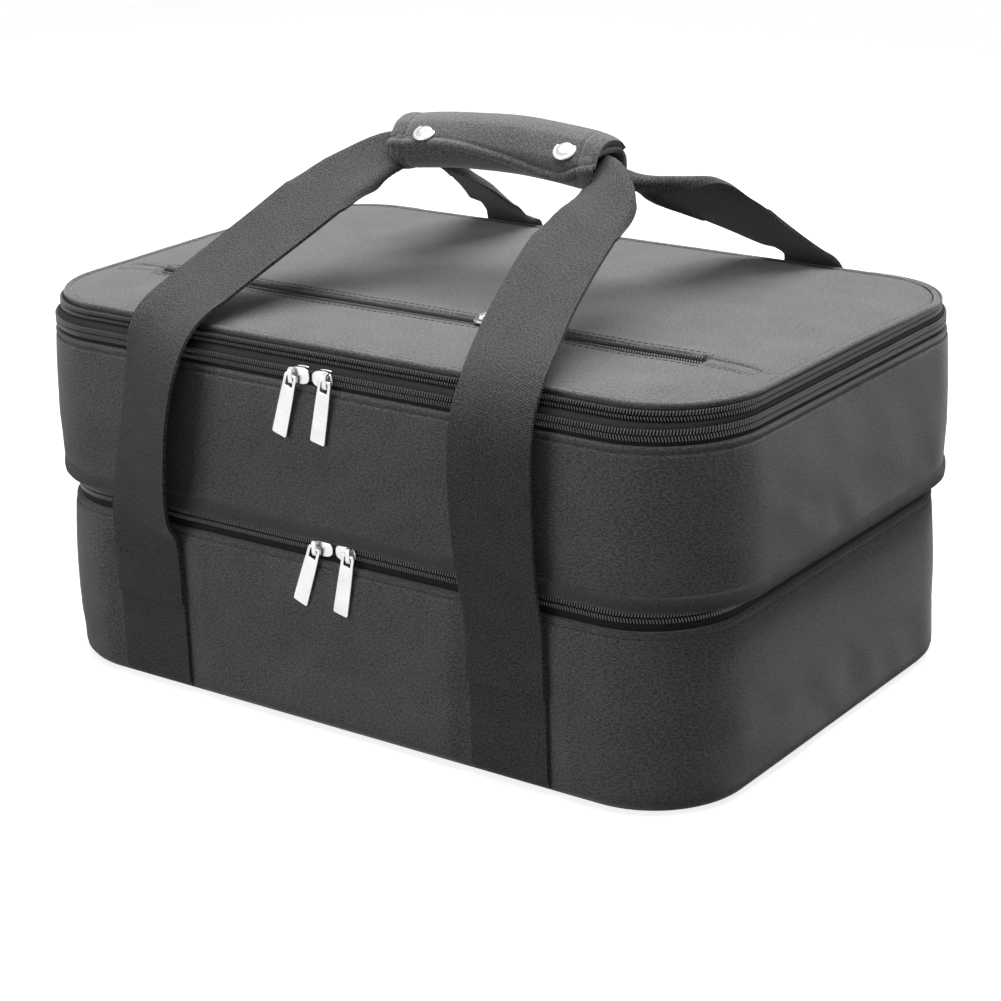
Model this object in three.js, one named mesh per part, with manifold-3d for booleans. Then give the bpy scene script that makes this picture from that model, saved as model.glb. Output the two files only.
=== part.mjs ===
// Double-deck insulated casserole carrier with webbing straps and a snap-over grip.
// Millimetres, +Z up, +X along the length, the front faces -Y.
// The origin lies on the floor, under the middle of the carrier.

import * as THREE from 'three';
import { mergeVertices } from 'three/addons/utils/BufferGeometryUtils.js';
import Module from 'manifold-3d';

const wasm = await Module();
wasm.setup();

// Driving dimensions of the two decks
const upperLength = 430;
const upperWidth = 280;
const upperCornerRadius = 54;
const lowerLength = 412;
const lowerWidth = 280;
const lowerCornerRadius = 50;
const lowerFabricTop = 92;
const deckTapeBelow = 7.5;
const deckTapeAbove = 5.3;
const upperWallHeight = 76.7;
const lidTapeBelow = 6.7;
const lidRimHeight = 8.8;
const lidThickness = 6.8;
const deckZipHeight = lowerFabricTop + deckTapeBelow;
const upperFloorBottom = deckZipHeight + deckTapeAbove;
const upperFabricTop = upperFloorBottom + upperWallHeight;
const lidZipHeight = upperFabricTop + lidTapeBelow;
const lidBandBottom = lidZipHeight + lidRimHeight;
const lidPanelTop = lidBandBottom + lidThickness;
const lidEndInset = 6;
const lidSideInset = 10.5;

// Layers of the walls
const lowerWall = 6;
const upperWall = 5;
const linerThickness = 1;
const lowerBoardThickness = 3;
const upperBoardThickness = 2;
const baseFillet = 12;
const clearance = 0.3;
const rimRounding = 0.8;

// Webbing
const webbingWidth = 45;
const webbingThickness = 2;
const strapPitch = 230;
const strapSeamShift = -9;
const strapSeamDrop = 10;
const frontLidPitch = 210;
const frontLidShift = 2;
const backLidPitch = 199;
const backLidShift = 12.5;
const strapBow = 11;
const gatheredWidth = 15;

// Grip, with the lean that the loose straps give it
const gripLength = 128;
const gripDepth = 34;
const gripHeight = 29;
const gripRise = 67;
const gripLeanX = 7;
const gripLeanY = 6;
const gripCrown = 5;
const flapThickness = 3;
const lipThickness = 2.5;
const gripStrapSpacing = 5;
const gripStrapShift = 2.5;

// Brings the middle of the overall box over the origin
const frameShiftX = 2.5;
const frameShiftY = 8.4;

// Smoothness of the curved outlines
const cornerSteps = 6;
const filletSteps = 3;
const fullTurn = 2 * Math.PI;

const group = new THREE.Group();

const finishes = {
  heather: { color: 0x4b4b4d, roughness: 0.95, metalness: 0 },
  liner: { color: 0xb9bcc0, roughness: 0.4, metalness: 0.1 },
  board: { color: 0x8a8478, roughness: 0.9, metalness: 0 },
  foam: { color: 0xe6e4de, roughness: 1, metalness: 0 },
  webbing: { color: 0x3a3a3c, roughness: 0.9, metalness: 0 },
  zip: { color: 0x232325, roughness: 0.6, metalness: 0 },
  nickel: { color: 0xd8d8d6, roughness: 0.2, metalness: 1 },
};

const materials = Object.fromEntries(
  Object.entries(finishes).map(([name, look]) => [name, new THREE.MeshStandardMaterial(look)]),
);

function add(name, geometry, finish) {
  geometry.translate(frameShiftX, frameShiftY, 0);
  const mesh = new THREE.Mesh(geometry, materials[finish]);
  mesh.name = name;
  group.add(mesh);
}

// Closed meshes from rings of points

function closedGeometry(points, faces) {
  let volume = 0;
  for (const [a, b, c] of faces) {
    volume += points[a].dot(new THREE.Vector3().crossVectors(points[b], points[c]));
  }
  const index = faces.flatMap(([a, b, c]) => (volume < 0 ? [a, c, b] : [a, b, c]));
  const geometry = new THREE.BufferGeometry().setFromPoints(points);
  geometry.setIndex(index);
  return geometry;
}

// Skins rings of equal length. Open runs are capped with the triangles of capOutline,
// or with a fan from the middle where no outline is given.
function skin(rings, { loop = false, capOutline = null } = {}) {
  const size = rings[0].length;
  const points = rings.flat();
  const faces = [];
  const spans = loop ? rings.length : rings.length - 1;
  for (let ring = 0; ring < spans; ring += 1) {
    const near = ring * size;
    const far = ((ring + 1) % rings.length) * size;
    for (let step = 0; step < size; step += 1) {
      const next = (step + 1) % size;
      faces.push([near + step, near + next, far + next], [near + step, far + next, far + step]);
    }
  }
  if (!loop) {
    capRing(points, faces, rings[0], 0, true, capOutline);
    capRing(points, faces, rings.at(-1), (rings.length - 1) * size, false, capOutline);
  }
  return closedGeometry(points, faces);
}

function capRing(points, faces, ring, offset, reversed, capOutline) {
  if (capOutline) {
    const turnsLeft = THREE.ShapeUtils.area(capOutline) > 0;
    for (const [a, b, c] of THREE.ShapeUtils.triangulateShape(capOutline, [])) {
      const corners = [offset + a, offset + b, offset + c];
      faces.push(reversed === turnsLeft ? corners.reverse() : corners);
    }
    return;
  }
  const middle = ring.reduce((sum, point) => sum.add(point), new THREE.Vector3());
  middle.divideScalar(ring.length);
  points.push(middle);
  const hub = points.length - 1;
  for (let step = 0; step < ring.length; step += 1) {
    const corners = [hub, offset + step, offset + ((step + 1) % ring.length)];
    faces.push(reversed ? corners.reverse() : corners);
  }
}

// Rounded-rectangle outlines of the two decks

const upperDeck = { length: upperLength, width: upperWidth, radius: upperCornerRadius };
const lowerDeck = { length: lowerLength, width: lowerWidth, radius: lowerCornerRadius };

// The coils end on the back side, where plain fabric makes the hinge
const zipEndPitch = 300;
const zipEndTaper = 3;

// One level outline of a deck, drawn in by endInset and sideInset. The bead draws the
// outline out again wherever the coil runs.
function outline(deck, height, endInset, sideInset = endInset, bead = 0) {
  const radius = deck.radius - (endInset + sideInset) / 2;
  const centreX = deck.length / 2 - endInset - radius;
  const centreY = deck.width / 2 - sideInset - radius;
  const corners = [[1, -1], [1, 1], [-1, 1], [-1, -1]];
  const points = [];
  corners.forEach(([signX, signY], corner) => {
    for (let step = 0; step <= cornerSteps; step += 1) {
      const angle = (fullTurn / 4) * (corner - 1 + step / cornerSteps);
      const reach = radius + bead;
      points.push(new THREE.Vector3(
        signX * centreX + reach * Math.cos(angle),
        signY * centreY + reach * Math.sin(angle),
        height,
      ));
    }
    if (corner === 1) {
      const backY = centreY + radius;
      for (const side of [1, -1]) {
        const coilEnd = new THREE.Vector3(side * zipEndPitch / 2, backY + bead, height);
        const tapered = new THREE.Vector3(side * (zipEndPitch / 2 - zipEndTaper), backY, height);
        points.push(...(side === 1 ? [coilEnd, tapered] : [tapered, coilEnd]));
      }
    }
  });
  return points;
}

function insetRings(deck, rows) {
  return rows.map(([inset, height]) => outline(deck, height, inset));
}

// Outer rows of a quarter-round base edge, from the floor up to the wall
function filletRows(bottom, radius, inset = 0) {
  const rows = [];
  for (let step = 0; step <= filletSteps; step += 1) {
    const angle = (fullTurn / 4) * (step / filletSteps);
    rows.push([inset + radius * (1 - Math.sin(angle)), bottom + radius * (1 - Math.cos(angle))]);
  }
  return rows;
}

// An open-topped tub: outer rows, then the inner wall and floor
function tub(deck, outerRows, top, wallInset, floorTop, innerFillet) {
  const innerRows = filletRows(floorTop, innerFillet, wallInset).reverse();
  return skin(insetRings(deck, [...outerRows, [wallInset, top], ...innerRows]));
}

function plate(deck, inset, bottom, top) {
  return skin(insetRings(deck, [[inset, bottom], [inset, top]]));
}

// Lower deck, which stands on the two webbing straps under its base

const lowerBottom = webbingThickness + clearance;
const lowerFloorTop = lowerBottom + lowerWall;
const lowerBoardBottom = lowerFloorTop + clearance;
const lowerLinerBottom = lowerBoardBottom + lowerBoardThickness + clearance;
const lowerLinerInset = lowerWall + clearance;
const innerFillet = baseFillet - lowerWall;

add('lower_shell', tub(
  lowerDeck,
  [...filletRows(lowerBottom, baseFillet), [0, lowerFabricTop - rimRounding], [rimRounding, lowerFabricTop]],
  lowerFabricTop,
  lowerWall,
  lowerFloorTop,
  innerFillet,
), 'heather');

add('lower_base_board', plate(
  lowerDeck,
  lowerWall + innerFillet + clearance,
  lowerBoardBottom,
  lowerBoardBottom + lowerBoardThickness,
), 'board');

add('lower_liner', tub(
  lowerDeck,
  filletRows(lowerLinerBottom, innerFillet, lowerLinerInset),
  lowerFabricTop - rimRounding,
  lowerLinerInset + linerThickness,
  lowerLinerBottom + linerThickness,
  innerFillet - linerThickness,
), 'liner');

// Upper deck, set over the lower one and bound with ribbed tape at its bottom edge

const bindingHeight = 6.2;
const bindingThickness = 2.2;
const bindingProud = 1;
const bindingSwell = 0.4;
const bindingInset = bindingThickness - bindingProud;
const bindingBottom = upperFloorBottom + clearance;
const bindingTop = bindingBottom + bindingHeight;
const upperFloorThickness = 5;
const upperFloorTop = upperFloorBottom + upperFloorThickness;
const upperBoardBottom = upperFloorTop + clearance;
const upperLinerBottom = upperBoardBottom + upperBoardThickness + clearance;
const upperLinerInset = upperWall + clearance;
const upperInnerFillet = 4;
const upperBaseFillet = 2;

add('upper_shell', tub(
  upperDeck,
  [
    ...filletRows(upperFloorBottom, upperBaseFillet, bindingInset + clearance),
    [bindingInset + clearance, bindingTop + clearance],
    [0, bindingTop + 2 * clearance],
    [0, upperFabricTop - rimRounding],
    [rimRounding, upperFabricTop],
  ],
  upperFabricTop,
  upperWall,
  upperFloorTop,
  upperInnerFillet,
), 'heather');

add('upper_base_board', plate(
  upperDeck,
  upperWall + upperInnerFillet + clearance,
  upperBoardBottom,
  upperBoardBottom + upperBoardThickness,
), 'board');

add('upper_liner', tub(
  upperDeck,
  filletRows(upperLinerBottom, upperInnerFillet, upperLinerInset),
  upperFabricTop - rimRounding,
  upperLinerInset + linerThickness,
  upperLinerBottom + linerThickness,
  upperInnerFillet - linerThickness,
), 'liner');

add('upper_binding', skin(insetRings(upperDeck, [
  [-bindingProud, bindingBottom],
  [-bindingProud - bindingSwell, (bindingBottom + bindingTop) / 2],
  [-bindingProud, bindingTop],
  [bindingInset, bindingTop],
  [bindingInset, bindingBottom],
]), { loop: true }), 'webbing');

// Zips round the decks. Each half is a tape with the coil as a bead along one edge.

const tapeThickness = 1;
const coilProud = 1.2;
const coilHalfWidth = 1.65;
const slimCoilHalfWidth = 1.2;
const zipGap = clearance / 2;

// A half runs from its plain edge to the coil edge beside the zip's middle line
function zipHalf(deck, plainEdge, middle, insets, halfWidth) {
  const side = Math.sign(plainEdge - middle);
  const coilEdge = middle + side * zipGap;
  const coilRoot = middle + side * (zipGap + halfWidth);
  const [endInset, sideInset] = insets;
  const level = (height, depth, bead) => (
    outline(deck, height, endInset + depth, sideInset + depth, bead)
  );
  return skin([
    level(plainEdge, 0, 0),
    level(coilRoot, 0, 0),
    level(coilRoot, 0, coilProud),
    level(coilEdge, 0, coilProud),
    level(coilEdge, tapeThickness, 0),
    level(plainEdge, tapeThickness, 0),
  ], { loop: true });
}

const deckZipInset = 2.8;
const lidZipInset = 1.6;
add('deck_zip_lower_half', zipHalf(
  lowerDeck,
  lowerFabricTop + clearance,
  deckZipHeight,
  [deckZipInset, deckZipInset],
  coilHalfWidth,
), 'zip');
add('deck_zip_upper_half', zipHalf(
  lowerDeck,
  upperFloorBottom - clearance,
  deckZipHeight,
  [deckZipInset, deckZipInset],
  coilHalfWidth,
), 'zip');
add('lid_zip_lower_half', zipHalf(
  upperDeck,
  upperFabricTop + clearance,
  lidZipHeight,
  [lidZipInset, lidZipInset],
  coilHalfWidth,
), 'zip');

// The rim between the two upper zips: it stays on the lid and holds the expansion gusset

const rimTapeTop = lidZipHeight + zipGap + coilHalfWidth + clearance;
const expansionShare = 0.66;
const expansionEndInset = lidEndInset * expansionShare;
const expansionSideInset = lidSideInset * expansionShare;
const expansionZipHeight = lidBandBottom - clearance - zipGap - slimCoilHalfWidth - clearance;
const rimBandThickness = 0.6;
const rimBandInnerHeight = expansionZipHeight - zipGap - slimCoilHalfWidth - 2 * clearance;
const gussetDepth = 4;

add('lid_zip_upper_half', zipHalf(
  upperDeck,
  rimTapeTop,
  lidZipHeight,
  [lidZipInset, lidZipInset],
  coilHalfWidth,
), 'zip');

add('rim_band', skin([
  outline(upperDeck, rimTapeTop + clearance, lidZipInset),
  outline(upperDeck, rimTapeTop + clearance + rimBandThickness, lidZipInset),
  outline(upperDeck, rimBandInnerHeight, expansionEndInset + tapeThickness, expansionSideInset + tapeThickness),
  outline(
    upperDeck,
    rimBandInnerHeight - rimBandThickness,
    expansionEndInset + tapeThickness,
    expansionSideInset + tapeThickness,
  ),
], { loop: true }), 'zip');

add('expansion_zip_lower_half', zipHalf(
  upperDeck,
  expansionZipHeight - zipGap - slimCoilHalfWidth - clearance,
  expansionZipHeight,
  [expansionEndInset, expansionSideInset],
  slimCoilHalfWidth,
), 'zip');

const gussetEndInset = expansionEndInset + tapeThickness + clearance;
const gussetSideInset = expansionSideInset + tapeThickness + clearance;
const gussetBottom = rimBandInnerHeight - rimBandThickness;
const gussetTop = lidBandBottom - 2 * clearance;
add('expansion_gusset', skin([
  outline(upperDeck, gussetBottom, gussetEndInset, gussetSideInset),
  outline(upperDeck, gussetTop, gussetEndInset, gussetSideInset),
  outline(upperDeck, gussetTop, gussetEndInset + gussetDepth, gussetSideInset + gussetDepth),
  outline(upperDeck, gussetBottom, gussetEndInset + gussetDepth, gussetSideInset + gussetDepth),
], { loop: true }), 'heather');

// Lid panel: a tray of fabric with a rolled edge, filled with foam and closed by the lining

const lidSkin = 2;
const lidBandThickness = 2.8;
const seamHeight = 198.4;
const seamDepth = 1.4;
const seamWidth = 1;
const rollRadius = 3.2;
const rollRows = 4;
const lidLinerBottom = lidBandBottom + clearance;
const foamBottom = lidLinerBottom + linerThickness + clearance;
const foamTop = lidPanelTop - lidSkin - clearance;

const lidDeck = {
  length: upperLength - 2 * lidEndInset,
  width: upperWidth - 2 * lidSideInset,
  radius: upperCornerRadius - (lidEndInset + lidSideInset) / 2,
};

function rolledEdgeRows() {
  const rows = [];
  const centreHeight = seamHeight + seamWidth + rollRadius;
  for (let step = 0; step <= rollRows; step += 1) {
    const angle = (fullTurn / 2) * (step / rollRows);
    rows.push([
      rollRadius - rollRadius * Math.cos(angle),
      centreHeight + (lidPanelTop + rollRadius / 2 - centreHeight) * Math.sin(angle),
    ]);
  }
  return rows;
}

// The pocket zip lies in a slot of the lid, parallel to the front
const pocketEndMargin = 37;
const pocketZipLength = upperLength - 2 * (lidEndInset + pocketEndMargin);
const pocketZipY = -66;
const pocketToothPitch = 5;
const pocketToothReach = 0.9;
const pocketToothRootShare = 0.38;
const pocketToothTipShare = 0.3;
const pocketCoilWidth = 2.4;
const pocketTapeWidth = 4.4;
const pocketCoilHeight = 1.8;
const pocketSlotWidth = 2 * (pocketTapeWidth + clearance);
const pocketZipTop = lidPanelTop + clearance;
const pocketZipBottom = pocketZipTop - pocketCoilHeight;
const cutOverrun = 5;

function solid(geometry) {
  const bare = geometry.clone();
  bare.deleteAttribute('normal');
  bare.deleteAttribute('uv');
  const merged = mergeVertices(bare, clearance / 1000);
  return new wasm.Manifold(new wasm.Mesh({
    numProp: 3,
    vertProperties: new Float32Array(merged.attributes.position.array),
    triVerts: new Uint32Array(merged.index.array),
  }));
}

function geometryOf(manifold) {
  const mesh = manifold.getMesh();
  const geometry = new THREE.BufferGeometry();
  geometry.setAttribute('position', new THREE.BufferAttribute(mesh.vertProperties, 3));
  geometry.setIndex(new THREE.BufferAttribute(mesh.triVerts, 1));
  return geometry;
}

function block(sizeX, sizeY, sizeZ, x, y, z) {
  return new THREE.BoxGeometry(sizeX, sizeY, sizeZ).translate(x, y, z);
}

const lidTray = skin(insetRings(lidDeck, [
  [lidBandThickness, lidPanelTop - lidSkin],
  [lidBandThickness, lidBandBottom],
  [rimRounding, lidBandBottom],
  [0, lidBandBottom + rimRounding],
  [0, seamHeight - seamWidth],
  [seamDepth, seamHeight],
  [seamDepth / 2, seamHeight + seamWidth],
  ...rolledEdgeRows(),
  [2 * rollRadius + clearance, lidPanelTop],
]));
const pocketSlot = block(
  pocketZipLength + 2 * clearance,
  pocketSlotWidth,
  lidSkin + cutOverrun,
  0,
  pocketZipY,
  lidPanelTop,
);
add('lid_shell', geometryOf(solid(lidTray).subtract(solid(pocketSlot))), 'heather');

add('lid_foam', plate(lidDeck, lidBandThickness + clearance, foamBottom, foamTop), 'foam');
add('lid_liner', plate(
  lidDeck,
  lidBandThickness + clearance,
  lidLinerBottom,
  lidLinerBottom + linerThickness,
), 'liner');

add('expansion_zip_upper_half', zipHalf(
  upperDeck,
  lidBandBottom - clearance,
  expansionZipHeight,
  [expansionEndInset, expansionSideInset],
  slimCoilHalfWidth,
), 'zip');

// One half of the pocket zip. The teeth reach past the middle line between those of the other half.
function pocketHalf(side) {
  const teeth = Math.floor(pocketZipLength / pocketToothPitch) - 1;
  const start = (-teeth * pocketToothPitch) / 2;
  const shape = new THREE.Shape();
  shape.moveTo(-pocketZipLength / 2, side * pocketCoilWidth);
  shape.lineTo(-pocketZipLength / 2, side * pocketToothReach);
  for (let tooth = 0; tooth < teeth; tooth += 1) {
    const middle = start + (tooth + 0.5 + side / 4) * pocketToothPitch;
    const root = pocketToothPitch * pocketToothRootShare / 2;
    const tip = pocketToothPitch * pocketToothTipShare / 2;
    shape.lineTo(middle - root, side * (pocketToothReach + clearance));
    shape.lineTo(middle - tip, -side * pocketToothReach);
    shape.lineTo(middle + tip, -side * pocketToothReach);
    shape.lineTo(middle + root, side * (pocketToothReach + clearance));
  }
  shape.lineTo(pocketZipLength / 2, side * pocketToothReach);
  shape.lineTo(pocketZipLength / 2, side * pocketCoilWidth);
  const teethRow = new THREE.ExtrudeGeometry(shape, { depth: pocketCoilHeight, bevelEnabled: false });
  teethRow.translate(0, pocketZipY, pocketZipBottom);
  const tapeWidth = pocketTapeWidth - pocketCoilWidth + clearance;
  const tape = block(
    pocketZipLength,
    tapeWidth,
    tapeThickness,
    0,
    pocketZipY + side * (pocketTapeWidth - tapeWidth / 2),
    pocketZipBottom + tapeThickness / 2,
  );
  return geometryOf(solid(teethRow).add(solid(tape)));
}

add('pocket_zip_back_half', pocketHalf(1), 'zip');
add('pocket_zip_front_half', pocketHalf(-1), 'zip');

const tabWidth = 14;
const tabThickness = 0.8;
const tabOverlap = 5;
const tabStart = pocketZipLength / 2 - tabOverlap;
const tabEnd = lidDeck.length / 2 - 2 * rollRadius - 2 * clearance;
for (const [name, side] of [['left', -1], ['right', 1]]) {
  add(`pocket_tab_${name}`, block(
    tabEnd - tabStart,
    tabWidth,
    tabThickness,
    side * (tabStart + tabEnd) / 2,
    pocketZipY,
    pocketZipTop + clearance + tabThickness / 2,
  ), 'heather');
}

// Flat webbing along a run of stations, each a place, the direction of its width and the width

function ribbon(stations, steps) {
  const route = new THREE.CatmullRomCurve3(stations.map((station) => station.place));
  const across = new THREE.CatmullRomCurve3(stations.map((station) => station.across));
  const widths = new THREE.CatmullRomCurve3(
    stations.map((station) => new THREE.Vector3(station.width, 0, 0)),
  );
  const rings = [];
  for (let step = 0; step <= steps; step += 1) {
    const share = step / steps;
    const place = route.getPoint(share);
    const along = route.getTangent(share);
    const side = across.getPoint(share);
    side.addScaledVector(along, -side.dot(along)).normalize();
    const face = new THREE.Vector3().crossVectors(side, along);
    const halfWidth = widths.getPoint(share).x / 2;
    rings.push([[1, 1], [-1, 1], [-1, -1], [1, -1]].map(([wide, thick]) => (
      place.clone().addScaledVector(side, wide * halfWidth).addScaledVector(face, thick * webbingThickness / 2)
    )));
  }
  return skin(rings);
}

const backFace = upperWidth / 2 + bindingProud + bindingSwell + clearance + webbingThickness / 2;
const strapFace = lowerWidth / 2 + clearance + webbingThickness / 2;
const lidTop = lidPanelTop + rollRadius / 2;
const gripZ = lidTop + gripRise;

const strapSeamHeight = lowerFabricTop - strapSeamDrop;

function lidX(side, signY) {
  return signY < 0 ? side * frontLidPitch / 2 + frontLidShift : side * backLidPitch / 2 + backLidShift;
}

function seamX(side) {
  return side * strapPitch / 2 + strapSeamShift;
}

function gripEndX(side) {
  return side * gripLength / 2 + gripLeanX;
}

const strapSides = [['left', -1], ['right', 1]];

// Sewn stretch: down the front of the lower deck, under its base and up its back
function baseStrap(side) {
  const x = seamX(side);
  const bend = baseFillet + clearance + webbingThickness / 2;
  const quarter = (centreY, startAngle) => [0, 1, 2, 3, 4].map((step) => {
    const angle = startAngle + (fullTurn / 4) * (step / 4);
    return new THREE.Vector3(x, centreY + bend * Math.cos(angle), webbingThickness / 2 + bend + bend * Math.sin(angle));
  });
  const bendY = strapFace - bend;
  const backTop = deckZipHeight - clearance;
  const places = [
    new THREE.Vector3(x, -strapFace, strapSeamHeight),
    ...quarter(-bendY, fullTurn / 2),
    ...quarter(bendY, (3 * fullTurn) / 4),
    new THREE.Vector3(x, strapFace, backTop),
  ];
  const rings = places.map((place, index) => {
    const before = places[Math.max(index - 1, 0)];
    const after = places[Math.min(index + 1, places.length - 1)];
    const along = new THREE.Vector3().subVectors(after, before).normalize();
    const face = new THREE.Vector3(0, along.z, -along.y);
    return [[1, 1], [-1, 1], [-1, -1], [1, -1]].map(([wide, thick]) => (
      place.clone()
        .add(new THREE.Vector3(wide * webbingWidth / 2, 0, 0))
        .addScaledVector(face, thick * webbingThickness / 2)
    ));
  });
  return skin(rings);
}

for (const [name, side] of strapSides) {
  add(`base_strap_${name}`, baseStrap(side), 'webbing');
}

// Free stretches. Wall rows: share of the rise from the seam to the lid, share of the bow,
// share of the way in to the lid pitch.
const frontWallShares = [
  [0, 0.06, 0],
  [0.04, 0.14, 0],
  [0.12, 0.44, 0.05],
  [0.25, 0.7, 0.2],
  [0.45, 0.92, 0.5],
  [0.72, 1, 0.85],
  [0.9, 0.72, 1],
  [0.985, 0.34, 1],
];
const frontLoopShares = [[0.992, 0.31, 1], [1.006, 0.24, 1]];
// Cross rows: shares of the way from the lid's edge to the grip's end in Y, Z and X, the drop of the
// inner edge as a share of the width, and the share of the gather.
const frontCrossShares = [
  [0.08, 0.03, 0.06, 0, 0],
  [0.2, 0.15, 0.18, 0, 0],
  [0.4, 0.38, 0.38, 0, 0],
  [0.6, 0.64, 0.58, 0, 0],
  [0.77, 0.83, 0.66, 0.04, 0.3],
  [0.89, 0.97, 0.72, 0.04, 0.85],
  [0.965, 1, 0.8, 0, 1],
];
const backCrossShares = [
  [0.05, 0.02, 0.03, 0, 0],
  [0.14, 0.08, 0.12, 0, 0],
  [0.3, 0.26, 0.28, 0.04, 0],
  [0.5, 0.53, 0.48, 0.1, 0],
  [0.7, 0.75, 0.52, 0.12, 0.3],
  [0.85, 0.88, 0.6, 0.08, 0.85],
  [0.955, 0.96, 0.74, 0, 1],
];
// How far the inner edge of each front leg turns out from the wall at the full bow
const frontYawShares = { '-1': 0.36, 1: 0.06 };

function legAcross(side, tilt, yaw = 0) {
  return new THREE.Vector3(-side, -yaw, -tilt).normalize();
}

function mix(from, to, share) {
  return from + (to - from) * share;
}

const gripStrapY = gripLeanY + gripStrapShift;

function gripStrapZ(signY) {
  return gripZ - signY * gripStrapSpacing / 2;
}

function crossStations(side, signY, rows) {
  return rows.map(([shareY, shareZ, shareX, tilt, gather]) => ({
    place: new THREE.Vector3(
      mix(lidX(side, signY), gripEndX(side), shareX),
      mix(signY * strapFace, gripStrapY, shareY),
      mix(lidTop, gripStrapZ(signY), shareZ),
    ),
    across: legAcross(side, tilt).lerp(new THREE.Vector3(0, signY, 0), gather * gather).normalize(),
    width: mix(webbingWidth, gatheredWidth, gather),
  }));
}

// Inside the grip the webbing lies flat and gathered, the front strap over the back one
const gripStationShares = [-1.02, -0.88, -0.5, 0, 0.5, 0.88, 1.02];
function gripStations(signY) {
  return gripStationShares.map((shareX) => ({
    place: new THREE.Vector3(
      shareX * gripLength / 2 + gripLeanX,
      gripStrapY,
      gripStrapZ(signY) + gripCrown * (1 - shareX * shareX),
    ),
    across: new THREE.Vector3(0, signY, 0),
    width: gatheredWidth,
  }));
}

function frontWallStations(side, rows) {
  return rows.map(([shareZ, bow, shareX]) => ({
    place: new THREE.Vector3(
      mix(seamX(side), lidX(side, -1), shareX),
      -strapFace - strapBow * bow,
      mix(strapSeamHeight + clearance, lidTop, shareZ),
    ),
    across: legAcross(side, 0, bow * frontYawShares[side]),
    width: webbingWidth,
  }));
}

// The front strap stands in front of both decks on two legs, and its loop crosses to the grip
const frontLegSteps = 18;
const frontLoopSteps = 52;
for (const [name, side] of strapSides) {
  add(`front_strap_leg_${name}`, ribbon(frontWallStations(side, frontWallShares), frontLegSteps), 'webbing');
}
const frontCrossing = (side) => [
  ...frontWallStations(side, frontLoopShares),
  ...crossStations(side, -1, frontCrossShares),
];
add('front_strap_loop', ribbon([
  ...frontCrossing(-1),
  ...gripStations(-1),
  ...frontCrossing(1).reverse(),
], frontLoopSteps), 'webbing');

// The back strap is in three stretches, which part at the two hinge lines
const backLegSteps = 8;
const backLoopSteps = 56;
const backLegBottom = deckZipHeight + clearance;
const backLegTop = lidZipHeight - clearance;
// Shares of the leg's height and of its way in to the lid pitch
const backLegShares = [[0, 0], [0.12, 0], [0.5, 0.5], [0.88, 1], [1, 1]];

function backWallStation(side, height, shareX) {
  return {
    place: new THREE.Vector3(mix(seamX(side), lidX(side, 1), shareX), backFace, height),
    across: legAcross(side, 0),
    width: webbingWidth,
  };
}

for (const [name, side] of strapSides) {
  add(`back_strap_leg_${name}`, ribbon(backLegShares.map(([shareZ, shareX]) => (
    backWallStation(side, mix(backLegBottom, backLegTop, shareZ), shareX)
  )), backLegSteps), 'webbing');
}

const loopRiseShare = 0.6;
const backLeg = (side) => [
  backWallStation(side, lidZipHeight + clearance, 1),
  backWallStation(side, mix(lidZipHeight, lidTop, loopRiseShare), 1),
  ...crossStations(side, 1, backCrossShares),
];
add('back_strap_loop', ribbon([
  ...backLeg(-1),
  ...gripStations(1),
  ...backLeg(1).reverse(),
], backLoopSteps), 'webbing');

// Grip: a padded wrap sewn to the back strap, with a flap that closes over the front strap

// Outline of the closed grip from the hinge over the top and down the front, as shares of
// half its depth and half its height
const flapShares = [
  [0.86, 0.58], [0.62, 0.84], [0.25, 0.98], [-0.15, 0.99], [-0.55, 0.82], [-1, 0.02], [-0.98, -0.2],
];
const wrapShares = [
  [-0.92, -0.5], [-0.75, -0.8], [-0.4, -0.97], [0, -1], [0.42, -0.96], [0.78, -0.76],
  [0.97, -0.38], [1, 0], [0.93, 0.44],
];
const lipShares = [[-0.55, 0.82], [-1, 0.02], [-0.98, -0.27]];
const facetShares = [flapShares[4], flapShares[5]];

function gripPoint([shareY, shareZ], depth) {
  return new THREE.Vector2(shareY * (gripDepth / 2 - depth), shareZ * (gripHeight / 2 - depth));
}

const lipDepth = flapThickness + clearance;
const cavityDepth = lipDepth + lipThickness;
const flapOutline = [
  ...flapShares.map((share) => gripPoint(share, 0)),
  ...flapShares.map((share) => gripPoint(share, flapThickness)).reverse(),
];
const wrapOutline = [
  ...lipShares.map((share) => gripPoint(share, lipDepth)),
  gripPoint(lipShares.at(-1), 0),
  ...wrapShares.map((share) => gripPoint(share, 0)),
  ...[...lipShares, ...wrapShares].map((share) => gripPoint(share, cavityDepth)).reverse(),
];

const gripSteps = 6;
function gripCrownAt(x) {
  const share = (x - gripLeanX) / (gripLength / 2);
  return gripCrown * (1 - share * share);
}

function gripSkin(section) {
  const rings = [];
  for (let step = 0; step <= gripSteps; step += 1) {
    const x = mix(gripEndX(-1), gripEndX(1), step / gripSteps);
    rings.push(section.map((point) => (
      new THREE.Vector3(x, gripLeanY + point.x, gripZ + gripCrownAt(x) + point.y)
    )));
  }
  return skin(rings, { capOutline: section });
}

// Snaps: a capped socket through the flap over a stud through the lip
const snapPitch = 88;
const snapLeanX = 2;
const capRadius = 6.5;
const capHeight = 1.8;
const capEdge = 0.6;
const stemRadius = 4;
const socketRadius = 3;
const socketDepth = 1.3;
const studRadius = 1.8;
const studRise = 0.8;
const studFlangeRadius = 3.2;
const studFlangeThickness = 0.8;
const snapSides = 16;

function facetDistance(depth) {
  const [start, end] = facetShares.map((share) => gripPoint(share, depth));
  const normal = new THREE.Vector2(start.y - end.y, end.x - start.x).normalize().negate();
  return { normal, middle: new THREE.Vector2().addVectors(start, end).divideScalar(2) };
}

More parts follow.
